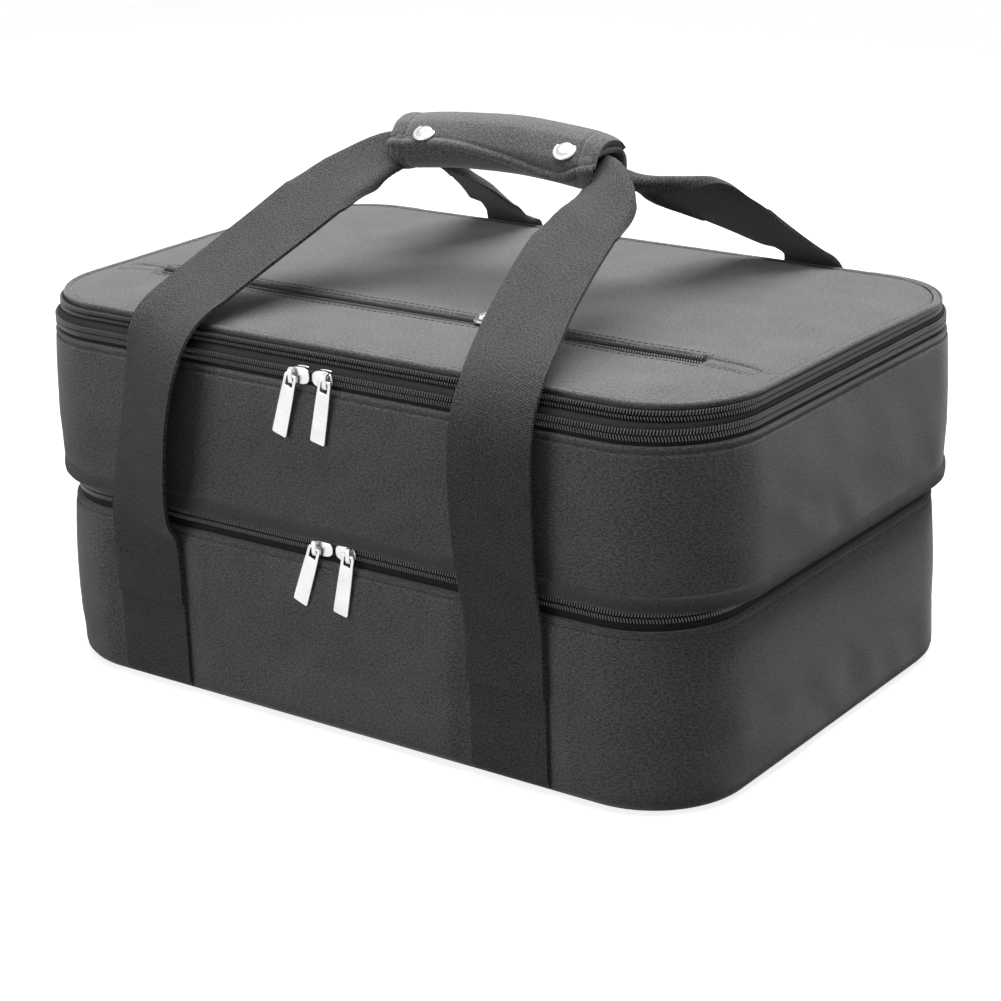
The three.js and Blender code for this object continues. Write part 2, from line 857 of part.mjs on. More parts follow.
// Turns a revolved piece whose axis is +Y so that the axis leaves the facet squarely
function snapMatrix(side) {
  const x = side * snapPitch / 2 + gripLeanX + snapLeanX;
  const slope = (-2 * gripCrown * (x - gripLeanX)) / ((gripLength / 2) * (gripLength / 2));
  const { normal, middle } = facetDistance(0);
  const along = new THREE.Vector3(1, 0, slope).normalize();
  const out = new THREE.Vector3(0, normal.x, normal.y);
  out.addScaledVector(along, -out.dot(along)).normalize();
  const third = new THREE.Vector3().crossVectors(along, out);
  const matrix = new THREE.Matrix4().makeBasis(along, out, third);
  matrix.setPosition(x, gripLeanY + middle.x, gripZ + gripCrownAt(x) + middle.y);
  return matrix;
}

function facetDrop(depth) {
  const surface = facetDistance(0);
  return surface.middle.dot(surface.normal) - facetDistance(depth).middle.dot(surface.normal);
}

const flapDrop = facetDrop(flapThickness);
const lipDrop = facetDrop(lipDepth);
const cavityDrop = facetDrop(cavityDepth);

function revolved(profile) {
  return new THREE.LatheGeometry(profile.map(([radius, height]) => new THREE.Vector2(radius, height)), snapSides);
}

function snapCap() {
  return revolved([
    [0, -flapDrop + socketDepth],
    [socketRadius, -flapDrop + socketDepth],
    [socketRadius, -flapDrop],
    [stemRadius, -flapDrop],
    [stemRadius, clearance],
    [capRadius, clearance],
    [capRadius, clearance + capEdge],
    [capRadius * 0.7, clearance + capHeight * 0.8],
    [0, clearance + capHeight],
  ]);
}

function snapStud() {
  const flangeTop = -cavityDrop - clearance;
  return revolved([
    [0, flangeTop - studFlangeThickness],
    [studFlangeRadius, flangeTop - studFlangeThickness],
    [studFlangeRadius, flangeTop],
    [studRadius, flangeTop],
    [studRadius, -lipDrop + studRise],
    [0, -lipDrop + studRise],
  ]);
}

function bore(radius, top, bottom) {
  return revolved([[0, bottom], [radius, bottom], [radius, top], [0, top]]);
}

let flapSolid = solid(gripSkin(flapOutline));
let wrapSolid = solid(gripSkin(wrapOutline));
for (const [name, side] of strapSides) {
  const matrix = snapMatrix(side);
  const flapBore = bore(stemRadius + clearance, cutOverrun, -flapDrop - clearance / 2);
  const lipBore = bore(studRadius + clearance, -lipDrop + clearance / 2, -cavityDrop - cutOverrun / 2);
  flapSolid = flapSolid.subtract(solid(flapBore.applyMatrix4(matrix)));
  wrapSolid = wrapSolid.subtract(solid(lipBore.applyMatrix4(matrix)));
  add(`snap_cap_${name}`, snapCap().applyMatrix4(matrix), 'nickel');
  add(`snap_stud_${name}`, snapStud().applyMatrix4(matrix), 'nickel');
}
add('grip_flap', geometryOf(flapSolid), 'heather');
add('grip_wrap', geometryOf(wrapSolid), 'heather');

// Sliders. In a slider's own frame the zip runs along X, +Y leaves the coil's face and +Z is across.

const sliderLength = 13;
const sliderHeight = 7.6;
const sliderPlate = 1.6;
const sliderFlangeLength = 10;
const sliderFlangeRoot = 2;
const sliderFootHeight = 1;
const archWidth = 2.2;
const archSpan = 6.8;
const archOpening = 4.2;
const archRise = 5;
const archClear = 3.4;
const pullThickness = 1.6;
const pullLength = 34;
const pullTopWidth = 7.8;
const pullBottomWidth = 9.2;
const pullHoleWidth = 4.4;
const pullHoleDepth = 5;
const pullCorner = 2;
const plateTop = clearance + sliderPlate;
const pivotRise = plateTop + archClear / 2;

function sliderBody({ coilDepth, standOff, archShift }) {
  const half = sliderLength / 2;
  const shield = new THREE.Shape([
    [-1, 0.5], [-0.45, 1], [0.45, 1], [1, 0.6], [1, -0.6], [0.45, -1], [-0.45, -1], [-1, -0.5],
  ].map(([shareX, shareZ]) => new THREE.Vector2(shareX * half, shareZ * sliderHeight / 2)));
  const shieldPlate = new THREE.ExtrudeGeometry(shield, { depth: sliderPlate, bevelEnabled: false });
  shieldPlate.rotateX(fullTurn / 4);
  shieldPlate.translate(0, plateTop, 0);
  const flangeHeight = sliderHeight / 2 - sliderFlangeRoot;
  const flangeDepth = coilDepth - clearance + plateTop;
  const flange = block(
    sliderFlangeLength,
    flangeDepth,
    flangeHeight,
    0,
    plateTop - flangeDepth / 2,
    -sliderFlangeRoot - flangeHeight / 2,
  );
  const arch = new THREE.Shape([
    [-archSpan / 2, -sliderPlate / 2], [archSpan / 2, -sliderPlate / 2],
    [archSpan / 2, archRise - clearance], [archSpan / 2 - clearance, archRise],
    [-archSpan / 2 + clearance, archRise], [-archSpan / 2, archRise - clearance],
  ].map(([z, y]) => new THREE.Vector2(z, y)));
  arch.holes.push(new THREE.Path([
    [-archOpening / 2, 0], [-archOpening / 2, archClear], [archOpening / 2, archClear], [archOpening / 2, 0],
  ].map(([z, y]) => new THREE.Vector2(z, y))));
  const archBar = new THREE.ExtrudeGeometry(arch, { depth: archWidth, bevelEnabled: false });
  archBar.rotateY(-fullTurn / 4);
  archBar.translate(archShift + archWidth / 2, plateTop, 0);
  const body = solid(shieldPlate).add(solid(archBar));
  if (standOff === 0) {
    return geometryOf(body.add(solid(flange)));
  }
  const foot = block(
    sliderFlangeLength,
    standOff + plateTop - clearance,
    sliderFootHeight,
    0,
    (plateTop - standOff + clearance) / 2,
    -zipGap - sliderFootHeight / 2,
  );
  return geometryOf(body.add(solid(foot)));
}

// The pull hangs from its crossbar, which passes under the arch
function sliderPull() {
  const bar = pullThickness / 2;
  const top = pullTopWidth / 2;
  const bottom = pullBottomWidth / 2;
  const foot = bar - pullLength;
  const shape = new THREE.Shape();
  shape.moveTo(-top + pullCorner / 2, bar);
  shape.lineTo(top - pullCorner / 2, bar);
  shape.lineTo(top, bar - pullCorner / 2);
  shape.lineTo(bottom, foot + pullCorner);
  shape.quadraticCurveTo(bottom, foot, bottom - pullCorner, foot);
  shape.lineTo(-bottom + pullCorner, foot);
  shape.quadraticCurveTo(-bottom, foot, -bottom, foot + pullCorner);
  shape.lineTo(-top, bar - pullCorner / 2);
  const hole = new THREE.Path();
  hole.moveTo(-pullHoleWidth / 2, -bar);
  hole.lineTo(-pullHoleWidth / 2, -bar - pullHoleDepth);
  hole.lineTo(pullHoleWidth / 2, -bar - pullHoleDepth);
  hole.lineTo(pullHoleWidth / 2, -bar);
  shape.holes.push(hole);
  const geometry = new THREE.ExtrudeGeometry(shape, {
    depth: pullThickness,
    bevelEnabled: false,
    curveSegments: filletSteps,
  });
  geometry.rotateX(fullTurn / 4);
  geometry.translate(0, pullThickness / 2, 0);
  return geometry;
}

// place is on the coil's face; out leaves the face, along follows the zip. A slider either hooks
// over its half of the coil or stands off on a foot. lean tilts the pull about the way out.
function addSlider(name, place, along, out, { coilDepth = 0, standOff = 0, archShift = 0, lean = 0 }) {
  const across = new THREE.Vector3().crossVectors(along, out);
  const matrix = new THREE.Matrix4().makeBasis(along, out, across).setPosition(place);
  add(`${name}_slider`, sliderBody({ coilDepth, standOff, archShift }).applyMatrix4(matrix), 'nickel');
  const pivot = place.clone().addScaledVector(along, archShift).addScaledVector(out, pivotRise);
  const hung = new THREE.Matrix4().makeBasis(along, out, across).setPosition(pivot);
  hung.multiply(new THREE.Matrix4().makeRotationY(lean));
  add(`${name}_pull`, sliderPull().applyMatrix4(hung), 'nickel');
}

// At rest the sliders of a pair meet near the middle of the front
const sliderPairGap = 1.5;
const sliderPairPitch = sliderLength + sliderPairGap;
const pairArchShift = 3.5;
const pullLean = -fullTurn * 13 / 360;
const lidSliderX = -7;
const deckSliderX = 1;
const pocketSliderX = 44;
const expansionSliderY = 40;
const alongX = new THREE.Vector3(-1, 0, 0);
const towardsFront = new THREE.Vector3(0, -1, 0);
const upwards = new THREE.Vector3(0, 0, 1);

const lidCoilFaceY = -(upperWidth / 2 - lidZipInset + coilProud);
const deckCoilFaceY = -(lowerWidth / 2 - deckZipInset + coilProud);
for (const [name, side] of strapSides) {
  const shift = side * sliderPairPitch / 2;
  addSlider(
    `lid_${name}`,
    new THREE.Vector3(lidSliderX + shift, lidCoilFaceY, lidZipHeight),
    alongX,
    towardsFront,
    { coilDepth: coilProud, archShift: -side * pairArchShift, lean: pullLean },
  );
  addSlider(
    `deck_${name}`,
    new THREE.Vector3(deckSliderX + shift, deckCoilFaceY, deckZipHeight),
    alongX,
    towardsFront,
    { coilDepth: coilProud, archShift: -side * pairArchShift, lean: pullLean },
  );
}

addSlider(
  'pocket',
  new THREE.Vector3(pocketSliderX, pocketZipY, pocketZipTop),
  new THREE.Vector3(1, 0, 0),
  upwards,
  {},
);

addSlider(
  'expansion',
  new THREE.Vector3(
    lidZipInset - coilProud - upperLength / 2,
    expansionSliderY,
    expansionZipHeight,
  ),
  new THREE.Vector3(0, 1, 0),
  new THREE.Vector3(-1, 0, 0),
  { standOff: expansionEndInset - lidZipInset },
);

export default group;
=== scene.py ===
import math

import bpy
import numpy as np
from mathutils import Matrix, Vector, noise


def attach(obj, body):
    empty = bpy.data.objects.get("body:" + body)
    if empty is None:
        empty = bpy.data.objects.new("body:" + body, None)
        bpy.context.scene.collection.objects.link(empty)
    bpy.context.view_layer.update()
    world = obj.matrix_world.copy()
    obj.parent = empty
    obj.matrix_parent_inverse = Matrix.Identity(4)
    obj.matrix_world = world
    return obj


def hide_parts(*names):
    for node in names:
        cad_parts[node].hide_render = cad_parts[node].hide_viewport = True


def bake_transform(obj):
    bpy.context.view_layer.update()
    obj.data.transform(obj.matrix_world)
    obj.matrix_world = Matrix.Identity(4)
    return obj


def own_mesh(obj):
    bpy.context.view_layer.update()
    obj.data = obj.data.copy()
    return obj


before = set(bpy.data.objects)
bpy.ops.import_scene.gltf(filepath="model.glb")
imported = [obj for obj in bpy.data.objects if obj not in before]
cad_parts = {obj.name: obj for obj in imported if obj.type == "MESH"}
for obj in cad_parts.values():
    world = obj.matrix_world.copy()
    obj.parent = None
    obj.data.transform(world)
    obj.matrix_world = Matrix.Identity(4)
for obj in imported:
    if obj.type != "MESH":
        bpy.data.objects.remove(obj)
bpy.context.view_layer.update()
mm = 0.001

# Everything is modelled round the middle of the decks, then set back over the frame's origin
bagShift = Vector((2.5 * mm, 8.4 * mm, 0))
print("frame loaded")


# Small helpers

def clearSelection():
    active = bpy.context.view_layer.objects.active
    if active and active.mode != "OBJECT":
        bpy.ops.object.mode_set(mode="OBJECT")
    bpy.ops.object.select_all(action="DESELECT")


def activate(piece):
    clearSelection()
    piece.select_set(True)
    bpy.context.view_layer.objects.active = piece


def applyModifiers(piece):
    activate(piece)
    for modifier in list(piece.modifiers):
        bpy.ops.object.modifier_apply(modifier=modifier.name)


def thicken(piece, thickness, offset):
    # a sheet gets its wall: half to each side with offset 0, all behind its face with offset -1
    wall = piece.modifiers.new("thickness", "SOLIDIFY")
    wall.thickness = thickness
    wall.offset = offset
    applyModifiers(piece)


def bevelEdges(piece, width, segments, limit="ANGLE"):
    edge = piece.modifiers.new("bevel", "BEVEL")
    edge.width = width
    edge.segments = segments
    edge.limit_method = limit
    edge.angle_limit = math.radians(50)
    applyModifiers(piece)


def smoothUpTo(degrees):
    bpy.ops.object.shade_smooth_by_angle(angle=math.radians(degrees))


def join(name, pieces):
    activate(pieces[0])
    for piece in pieces[1:]:
        piece.select_set(True)
    bpy.ops.object.join()
    whole = bpy.context.object
    whole.name = name
    whole.data.name = name
    return whole


def smoothStep(low, high, value):
    share = np.clip((value - low) / (high - low), 0, 1)
    return share * share * (3 - 2 * share)


def bump(value, centre, width):
    return np.exp(-((value - centre) / width) ** 2)


def grain(u, v, size, seed, w=None):
    # smooth noise between -1 and 1, looked up point by point
    third = np.zeros(np.shape(u)) if w is None else w
    points = zip(np.ravel(u), np.ravel(v), np.ravel(third))
    flat = [noise.noise(Vector((a / size, b / size, c / size + seed))) for a, b, c in points]
    return np.array(flat).reshape(np.shape(u))


# Sheets: a grid whose points go where an array of rows and columns says, with a UV map in metres

def gridSheet(name, places, uvs):
    rows, columns = places.shape[0] - 1, places.shape[1] - 1
    clearSelection()
    bpy.ops.mesh.primitive_grid_add(x_subdivisions=columns, y_subdivisions=rows, size=1)
    sheet = bpy.context.object
    sheet.name = name
    mesh = sheet.data
    mesh.name = name
    flat = np.empty(len(mesh.vertices) * 3)
    mesh.vertices.foreach_get("co", flat)
    column = np.rint((flat[0::3] + 0.5) * columns).astype(int)
    row = np.rint((flat[1::3] + 0.5) * rows).astype(int)
    mesh.vertices.foreach_set("co", places[row, column].ravel())
    corner = np.empty(len(mesh.loops), dtype=int)
    mesh.loops.foreach_get("vertex_index", corner)
    layer = mesh.uv_layers.active
    layer.name = "cloth"
    layer.data.foreach_set("uv", uvs[row, column][corner].ravel())
    mesh.update()
    bpy.ops.object.mode_set(mode="EDIT")
    bpy.ops.mesh.select_all(action="SELECT")
    bpy.ops.mesh.remove_doubles(threshold=1e-6)
    bpy.ops.object.mode_set(mode="OBJECT")
    activate(sheet)
    bpy.ops.object.shade_smooth()
    return sheet


# A rounded rectangle as stations: place, outward normal and arc length, from the middle of the
# back counterclockwise. Every ring made with the same counts matches point for point.

ringCounts = {"side": 150, "end": 90, "turn": 22}


def heading(degrees):
    return np.array([math.cos(math.radians(degrees)), math.sin(math.radians(degrees))])


def ring(halfX, halfY, radius, counts=ringCounts):
    places, normals = [], []
    here = back = np.array([0.0, halfY])
    side, end = counts["side"], counts["end"]
    halfSide = side // 2
    corners = ((-1, 1, 90, halfSide), (-1, -1, 180, end), (1, -1, 270, side), (1, 1, 0, end))
    for signX, signY, start, steps in corners:
        centre = np.array([signX * (halfX - radius), signY * (halfY - radius)])
        corner = centre + heading(start) * radius
        for step in range(steps):
            places.append(here + (corner - here) * step / steps)
            normals.append(heading(start))
        for step in range(counts["turn"]):
            spoke = heading(start + 90 * step / counts["turn"])
            places.append(centre + spoke * radius)
            normals.append(spoke)
        here = centre + heading(start + 90) * radius
    for step in range(halfSide + 1):
        places.append(here + (back - here) * step / halfSide)
        normals.append(np.array([0.0, 1.0]))
    places, normals = np.array(places), np.array(normals)
    run = np.concatenate([[0], np.cumsum(np.linalg.norm(np.diff(places, axis=0), axis=1))])
    return places, normals, run


# A loft over rings. Each row is halfX, halfY, radius, z and a scale that draws it to the middle.

def loft(name, rows, relief=None, counts=ringCounts):
    places, uvs = [], []
    climb = 0
    previous = None
    arc = ring(*rows[0][:3], counts)[2]
    for halfX, halfY, radius, z, scale in rows:
        flat, normals, _ = ring(halfX, halfY, radius, counts)
        flat = flat * scale
        here = (halfY * scale, z)
        if previous:
            climb += math.hypot(here[0] - previous[0], here[1] - previous[1])
        previous = here
        places.append(np.column_stack([flat, np.full(len(flat), z)]))
        uvs.append(np.column_stack([arc, np.full(len(arc), climb)]))
    places, uvs = np.array(places), np.array(uvs)
    if relief is not None:
        normals = ring(*rows[0][:3], counts)[1]
        out = relief(places)
        places[:, :, 0] += normals[None, :, 0] * out
        places[:, :, 1] += normals[None, :, 1] * out
    return gridSheet(name, places, uvs)


def inset(base, endInset, z, sideInset=None, scale=1):
    sideInset = endInset if sideInset is None else sideInset
    radius = max(base["radius"] - (endInset + sideInset) / 2, 2 * mm)
    return (base["halfX"] - endInset, base["halfY"] - sideInset, radius, z, scale)


# A path through keys of numbers with even steps along it

def smoothPath(keys, spacing):
    keys = np.array(keys, dtype=float)
    steps = np.maximum(np.linalg.norm(np.diff(keys[:, :3], axis=0), axis=1), 1e-9)
    run = np.concatenate([[0], np.cumsum(steps)])
    rates = np.diff(keys, axis=0) / steps[:, None]
    slopes = np.empty_like(keys)
    slopes[0], slopes[-1] = rates[0], rates[-1]
    weight = steps[1:, None] / (steps[1:, None] + steps[:-1, None])
    slopes[1:-1] = rates[:-1] * weight + rates[1:] * (1 - weight)
    samples = np.linspace(0, run[-1], max(2, round(run[-1] / spacing)) + 1)
    span = np.clip(np.searchsorted(run, samples, side="right") - 1, 0, len(steps) - 1)
    width = steps[span][:, None]
    t = ((samples - run[span]) / steps[span])[:, None]
    path = ((2 * t ** 3 - 3 * t ** 2 + 1) * keys[span] + (t ** 3 - 2 * t ** 2 + t) * width * slopes[span]
            + (3 * t ** 2 - 2 * t ** 3) * keys[span + 1] + (t ** 3 - t ** 2) * width * slopes[span + 1])
    return path, samples


# Webbing along keys of place, across and visible width. Where it is drawn narrower than it is
# woven its middle stays flat and its edges turn in behind.

webbing = {"width": 45 * mm, "thickness": 1.8 * mm, "turn": 2.4 * mm, "furthest": 2.85, "across": 32,
           "spacing": 3 * mm}


def foldedHalf(half, drawn, run):
    # how far a point lies out from the middle, and how far behind the face
    narrow = min(drawn / 2 / half, 1)
    angle = min(webbing["furthest"], 4 * math.sqrt(1 - narrow))
    turn = webbing["turn"]
    if narrow > 0.995:
        return run * narrow, run * 0
    if angle < math.pi / 2:
        folded = turn * math.sin(angle) + (half - turn * angle) * math.cos(angle)
        flat = (drawn / 2 - folded) / (1 - math.cos(angle))
    else:
        flat = drawn / 2 - turn
    flat = min(max(flat, 0), half - turn * angle)
    bent = np.clip((run - flat) / turn, 0, angle)
    rest = np.maximum(run - flat - turn * angle, 0)
    reach = np.minimum(run, flat) + turn * np.sin(bent) + rest * math.cos(angle)
    return reach, turn * (1 - np.cos(bent)) + rest * math.sin(angle)


def ribbonGrid(keys, width=webbing["width"], start=0, relief=None, across=webbing["across"],
               spacing=webbing["spacing"]):
    path, run = smoothPath(np.array(keys) * np.array([mm, mm, mm, 1, 1, 1, mm]), spacing)
    place = path[:, :3]
    tangent = np.gradient(place, axis=0)
    tangent /= np.linalg.norm(tangent, axis=1)[:, None]
    side = path[:, 3:6] - tangent * np.sum(path[:, 3:6] * tangent, axis=1)[:, None]
    side /= np.linalg.norm(side, axis=1)[:, None]
    out = np.cross(side, tangent)
    share = np.linspace(-1, 1, across + 1)
    half = width / 2
    folds = np.array([foldedHalf(half, drawn, np.abs(share) * half) for drawn in path[:, 6]])
    reach = folds[:, 0] * np.sign(share)[None, :]
    lift = -folds[:, 1]
    if relief is not None:
        lift = lift + relief(run[:, None] + start, share[None, :] * half, place)
    places = place[:, None, :] + side[:, None, :] * reach[:, :, None] + out[:, None, :] * lift[:, :, None]
    u = np.repeat(share[None, :] * half, len(run), axis=0)
    v = np.repeat(run[:, None] + start, across + 1, axis=1)
    return places, np.dstack([u, v])


def strapPiece(name, places, uvs, thickness=webbing["thickness"]):
    strap = gridSheet(name, places, uvs)
    thicken(strap, thickness, 0)
    smoothUpTo(50)
    return strap


def ribbon(name, keys, thickness=webbing["thickness"], **shape):
    return strapPiece(name, *ribbonGrid(keys, **shape), thickness)


# Repeats along a path: the unit lies along X and is bent round the path

def alongPath(name, unit, points, pitch, shift=0):
    clearSelection()
    bpy.ops.curve.primitive_bezier_curve_add()
    guide = bpy.context.object
    guide.data.splines.clear()
    spline = guide.data.splines.new("POLY")
    spline.points.add(len(points) - 1)
    for node, point in zip(spline.points, points):
        node.co = (*point, 1)
    guide.data.dimensions = "3D"
    guide.data.twist_mode = "Z_UP"
    length = sum((Vector(b) - Vector(a)).length for a, b in zip(points, points[1:]))
    unit.data.transform(Matrix.Translation((shift, 0, 0)))
    array = unit.modifiers.new("array", "ARRAY")
    array.use_relative_offset = False
    array.use_constant_offset = True
    array.constant_offset_displace = (pitch, 0, 0)
    array.count = int((length - shift) / pitch)
    bend = unit.modifiers.new("bend", "CURVE")
    bend.object = guide
    applyModifiers(unit)
    bpy.data.objects.remove(guide)
    unit.name = name
    unit.data.name = name
    return unit


def roundedBlock(name, size, place, bevel):
    clearSelection()
    bpy.ops.mesh.primitive_cube_add(size=1)
    block = bpy.context.object
    block.name = name
    block.data.transform(Matrix.Diagonal((*size, 1)))
    block.data.transform(Matrix.Translation(place))
    bevelEdges(block, bevel, 1, "NONE")
    smoothUpTo(50)
    return block


def copyOf(piece, name):
    activate(piece)
    bpy.ops.object.duplicate()
    twin = bpy.context.object
    twin.name = name
    twin.data.name = name
    return twin


# Settling a finished piece: its place, material, body and the CAD nodes it stands for; the slot argument is not
# used

def settle(piece, material, slot, *nodes, body=None):
    piece.data.transform(Matrix.Translation(bagShift))
    piece.data.materials.clear()
    piece.data.materials.append(material)
    if body:
        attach(piece, body)
    if nodes:
        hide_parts(*nodes)
    return piece


# Materials

def newMaterial(name, **sockets):
    material = bpy.data.materials.new(name)
    material.use_nodes = True
    shader = material.node_tree.nodes["Principled BSDF"]
    for socket, value in sockets.items():
        shader.inputs[socket].default_value = value
    return material, material.node_tree, shader


def addNode(tree, kind, settings=None, **inputs):
    node = tree.nodes.new(kind)
    for key, value in (settings or {}).items():
        setattr(node, key, value)
    for key, value in inputs.items():
        socket = node.inputs[int(key[1:])] if key[0] == "i" and key[1:].isdigit() else node.inputs[key]
        if isinstance(value, bpy.types.NodeSocket):
            tree.links.new(value, socket)
        else:
            socket.default_value = value
    return node


def sums(tree, operation, *values):
    inputs = {f"i{place}": value for place, value in enumerate(values)}
    return addNode(tree, "ShaderNodeMath", {"operation": operation}, **inputs).outputs[0]


def noiseOf(tree, vector, scale, detail, **inputs):
    return addNode(tree, "ShaderNodeTexNoise", Vector=vector, Scale=scale, Detail=detail, **inputs).outputs[0]


def spreadOf(tree, value, low, high, toLow=0.0, toHigh=1.0):
    return addNode(tree, "ShaderNodeMapRange", i0=value, i1=low, i2=high, i3=toLow, i4=toHigh).outputs[0]


def shadeOf(tree, share, dark, light):
    return addNode(tree, "ShaderNodeMix", {"data_type": "RGBA"}, i0=share, i6=dark, i7=light).outputs[2]


def bumpOf(tree, shader, height, strength, distance):
    raised = addNode(tree, "ShaderNodeBump", Height=height, Strength=strength, Distance=distance)
    tree.links.new(raised.outputs[0], shader.inputs["Normal"])


# A weave's node group: it takes a place in metres, two colours and its own sizes, and puts out
# colour and height. The place is handed on in mm.

def newWeave(name, sizes):
    group = bpy.data.node_groups.new(name, "ShaderNodeTree")
    group.interface.new_socket("Vector", in_out="INPUT", socket_type="NodeSocketVector")
    for label in ("Dark", "Light"):
        group.interface.new_socket(label, in_out="INPUT", socket_type="NodeSocketColor")
    for label, value in sizes.items():
        socket = group.interface.new_socket(label, in_out="INPUT", socket_type="NodeSocketFloat")
        socket.default_value = value
    group.interface.new_socket("Color", in_out="OUTPUT", socket_type="NodeSocketColor")
    group.interface.new_socket("Height", in_out="OUTPUT", socket_type="NodeSocketFloat")
    given = group.nodes.new("NodeGroupInput").outputs
    inMm = addNode(group, "ShaderNodeVectorMath", {"operation": "SCALE"}, i0=given["Vector"], Scale=1 / mm)
    axes = addNode(group, "ShaderNodeSeparateXYZ", i0=inMm.outputs[0])
    return group, given, inMm.outputs[0], axes.outputs[0], axes.outputs[1]


def endWeave(group, given, share, height):
    result = group.nodes.new("NodeGroupOutput")
    group.links.new(shadeOf(group, share, given["Dark"], given["Light"]), result.inputs["Color"])
    group.links.new(height, result.inputs["Height"])
    return group


# Heather cloth: warp and weft yarns of two shades in a plain weave, flecked and slightly uneven

def makeHeatherGroup():
    group, given, inMm, x, y = newWeave("heatherCloth", {"Yarn": 0.55})
    phase = sums(group, "DIVIDE", math.pi, given["Yarn"])
    waves = [sums(group, "SINE", sums(group, "MULTIPLY", axis, phase)) for axis in (x, y)]
    over = sums(group, "MULTIPLY", *waves)
    warpUp = sums(group, "GREATER_THAN", over, 0)

    def streaks(stretch, scale):
        turned = addNode(group, "ShaderNodeMapping", Vector=inMm)
        turned.inputs["Scale"].default_value = stretch
        return noiseOf(group, turned.outputs[0], scale, 3.0, Roughness=0.62)

    warp = streaks((1.5, 0.6, 1), 1.1)
    weft = streaks((0.33, 1.5, 1), 1.1)
    fleck = streaks((0.75, 1.2, 1), 1.0)
    cloud = streaks((1, 1, 1), 0.035)
    yarn = addNode(group, "ShaderNodeMix", {"data_type": "FLOAT"}, i0=warpUp, i2=weft, i3=warp).outputs[0]
    mixed = sums(group, "MULTIPLY_ADD", yarn, 0.55, sums(group, "MULTIPLY", fleck, 0.45))
    mixed = sums(group, "ADD", mixed, sums(group, "MULTIPLY_ADD", cloud, 0.08, -0.04))
    height = sums(group, "MULTIPLY_ADD", sums(group, "ABSOLUTE", over), 0.5, sums(group, "MULTIPLY", yarn, 0.9))
    return endWeave(group, given, spreadOf(group, mixed, 0.41, 0.59), height)


# Webbing: columns of short crosswise ribs, each column half a rib off its neighbour, salt and pepper

def makeWebbingGroup():
    group, given, inMm, x, y = newWeave("webbingWeave", {"Row": 2.0, "Pick": 1.5})
    rowPlace = sums(group, "DIVIDE", x, given["Row"])
    column = sums(group, "PINGPONG", sums(group, "FLOOR", rowPlace), 1.0)
    slant = sums(group, "MULTIPLY_ADD", column, 0.5, sums(group, "DIVIDE", y, given["Pick"]))
    pick = sums(group, "MULTIPLY", sums(group, "PINGPONG", slant, 0.5), 2.6)
    pick = sums(group, "SMOOTH_MIN", pick, 1.0, 0.3)
    rib = sums(group, "ABSOLUTE", sums(group, "SINE", sums(group, "MULTIPLY", rowPlace, math.pi)))
    wear = noiseOf(group, inMm, 0.9, 2.0, Roughness=0.7)
    cloud = noiseOf(group, inMm, 0.05, 2.0)
    body = sums(group, "MULTIPLY", pick, sums(group, "MULTIPLY_ADD", rib, 0.5, 0.5))
    tone = sums(group, "MULTIPLY_ADD", wear, 1.15, sums(group, "MULTIPLY_ADD", body, 0.3, -0.03))
    tone = sums(group, "MULTIPLY_ADD", cloud, 0.16, sums(group, "SUBTRACT", tone, 0.08))
    return endWeave(group, given, spreadOf(group, tone, 0.44, 0.98), body)


heatherGroup = makeHeatherGroup()
webbingGroup = makeWebbingGroup()


def clothVector(tree):
    return addNode(tree, "ShaderNodeUVMap", {"uv_map": "cloth"}).outputs[0]


def placeVector(tree):
    return addNode(tree, "ShaderNodeTexCoord").outputs["Object"]


def grey(value, warmth=0.0):
    return (value * (1 + warmth), value, value * (1 - warmth), 1)


def wovenMaterial(name, group, dark, light, relief, sheen, **sizes):
    material, tree, shader = newMaterial(name, Roughness=0.92)
    shader.inputs["Specular IOR Level"].default_value = 0.2
    shader.inputs["Sheen Weight"].default_value = sheen
    shader.inputs["Sheen Roughness"].default_value = 0.5
    weave = addNode(tree, "ShaderNodeGroup", {"node_tree": group})
    tree.links.new(clothVector(tree), weave.inputs["Vector"])
    for key, value in {"Dark": grey(dark), "Light": grey(light), **sizes}.items():
        weave.inputs[key].default_value = value
    tree.links.new(weave.outputs["Color"], shader.inputs["Base Color"])
    bumpOf(tree, shader, weave.outputs["Height"], relief, 0.3 * mm)
    return material


heather = wovenMaterial("heatherPolyester", heatherGroup, 0.048, 0.24, 0.32, sheen=0.6)
strapWeave = wovenMaterial("ribbedWebbing", webbingGroup, 0.016, 0.155, 0.6, sheen=0.15, Row=1.5, Pick=1.2)
bindingWeave = wovenMaterial("bindingTape", webbingGroup, 0.05, 0.16, 0.7, sheen=0.3, Row=0.8, Pick=1.1)
tapeWeave = wovenMaterial("zipTape", heatherGroup, 0.018, 0.036, 0.3, sheen=0.05, Yarn=0.4)


def makeCoil():
    material, tree, shader = newMaterial("zipCoil", Roughness=0.28)
    shader.inputs["Specular IOR Level"].default_value = 0.8
    mottle = noiseOf(tree, placeVector(tree), 900.0, 1.0)
    shade = shadeOf(tree, mottle, (0.012, 0.012, 0.013, 1), (0.06, 0.06, 0.063, 1))
    tree.links.new(shade, shader.inputs["Base Color"])
    return material


def makeNickel():
    material, tree, shader = newMaterial("brightNickel", Metallic=1.0)
    brushed = addNode(tree, "ShaderNodeMapping", Vector=placeVector(tree))
    brushed.inputs["Scale"].default_value = (1, 1, 0.08)
    marks = noiseOf(tree, brushed.outputs[0], 2400.0, 2.0)
    patches = noiseOf(tree, placeVector(tree), 110.0, 2.0)
    shade = shadeOf(tree, patches, (0.56, 0.56, 0.55, 1), (0.74, 0.74, 0.73, 1))
    tree.links.new(shade, shader.inputs["Base Color"])
    tree.links.new(spreadOf(tree, marks, 0.3, 0.7, 0.20, 0.34), shader.inputs["Roughness"])
    bumpOf(tree, shader, marks, 0.05, 0.1 * mm)
    return material


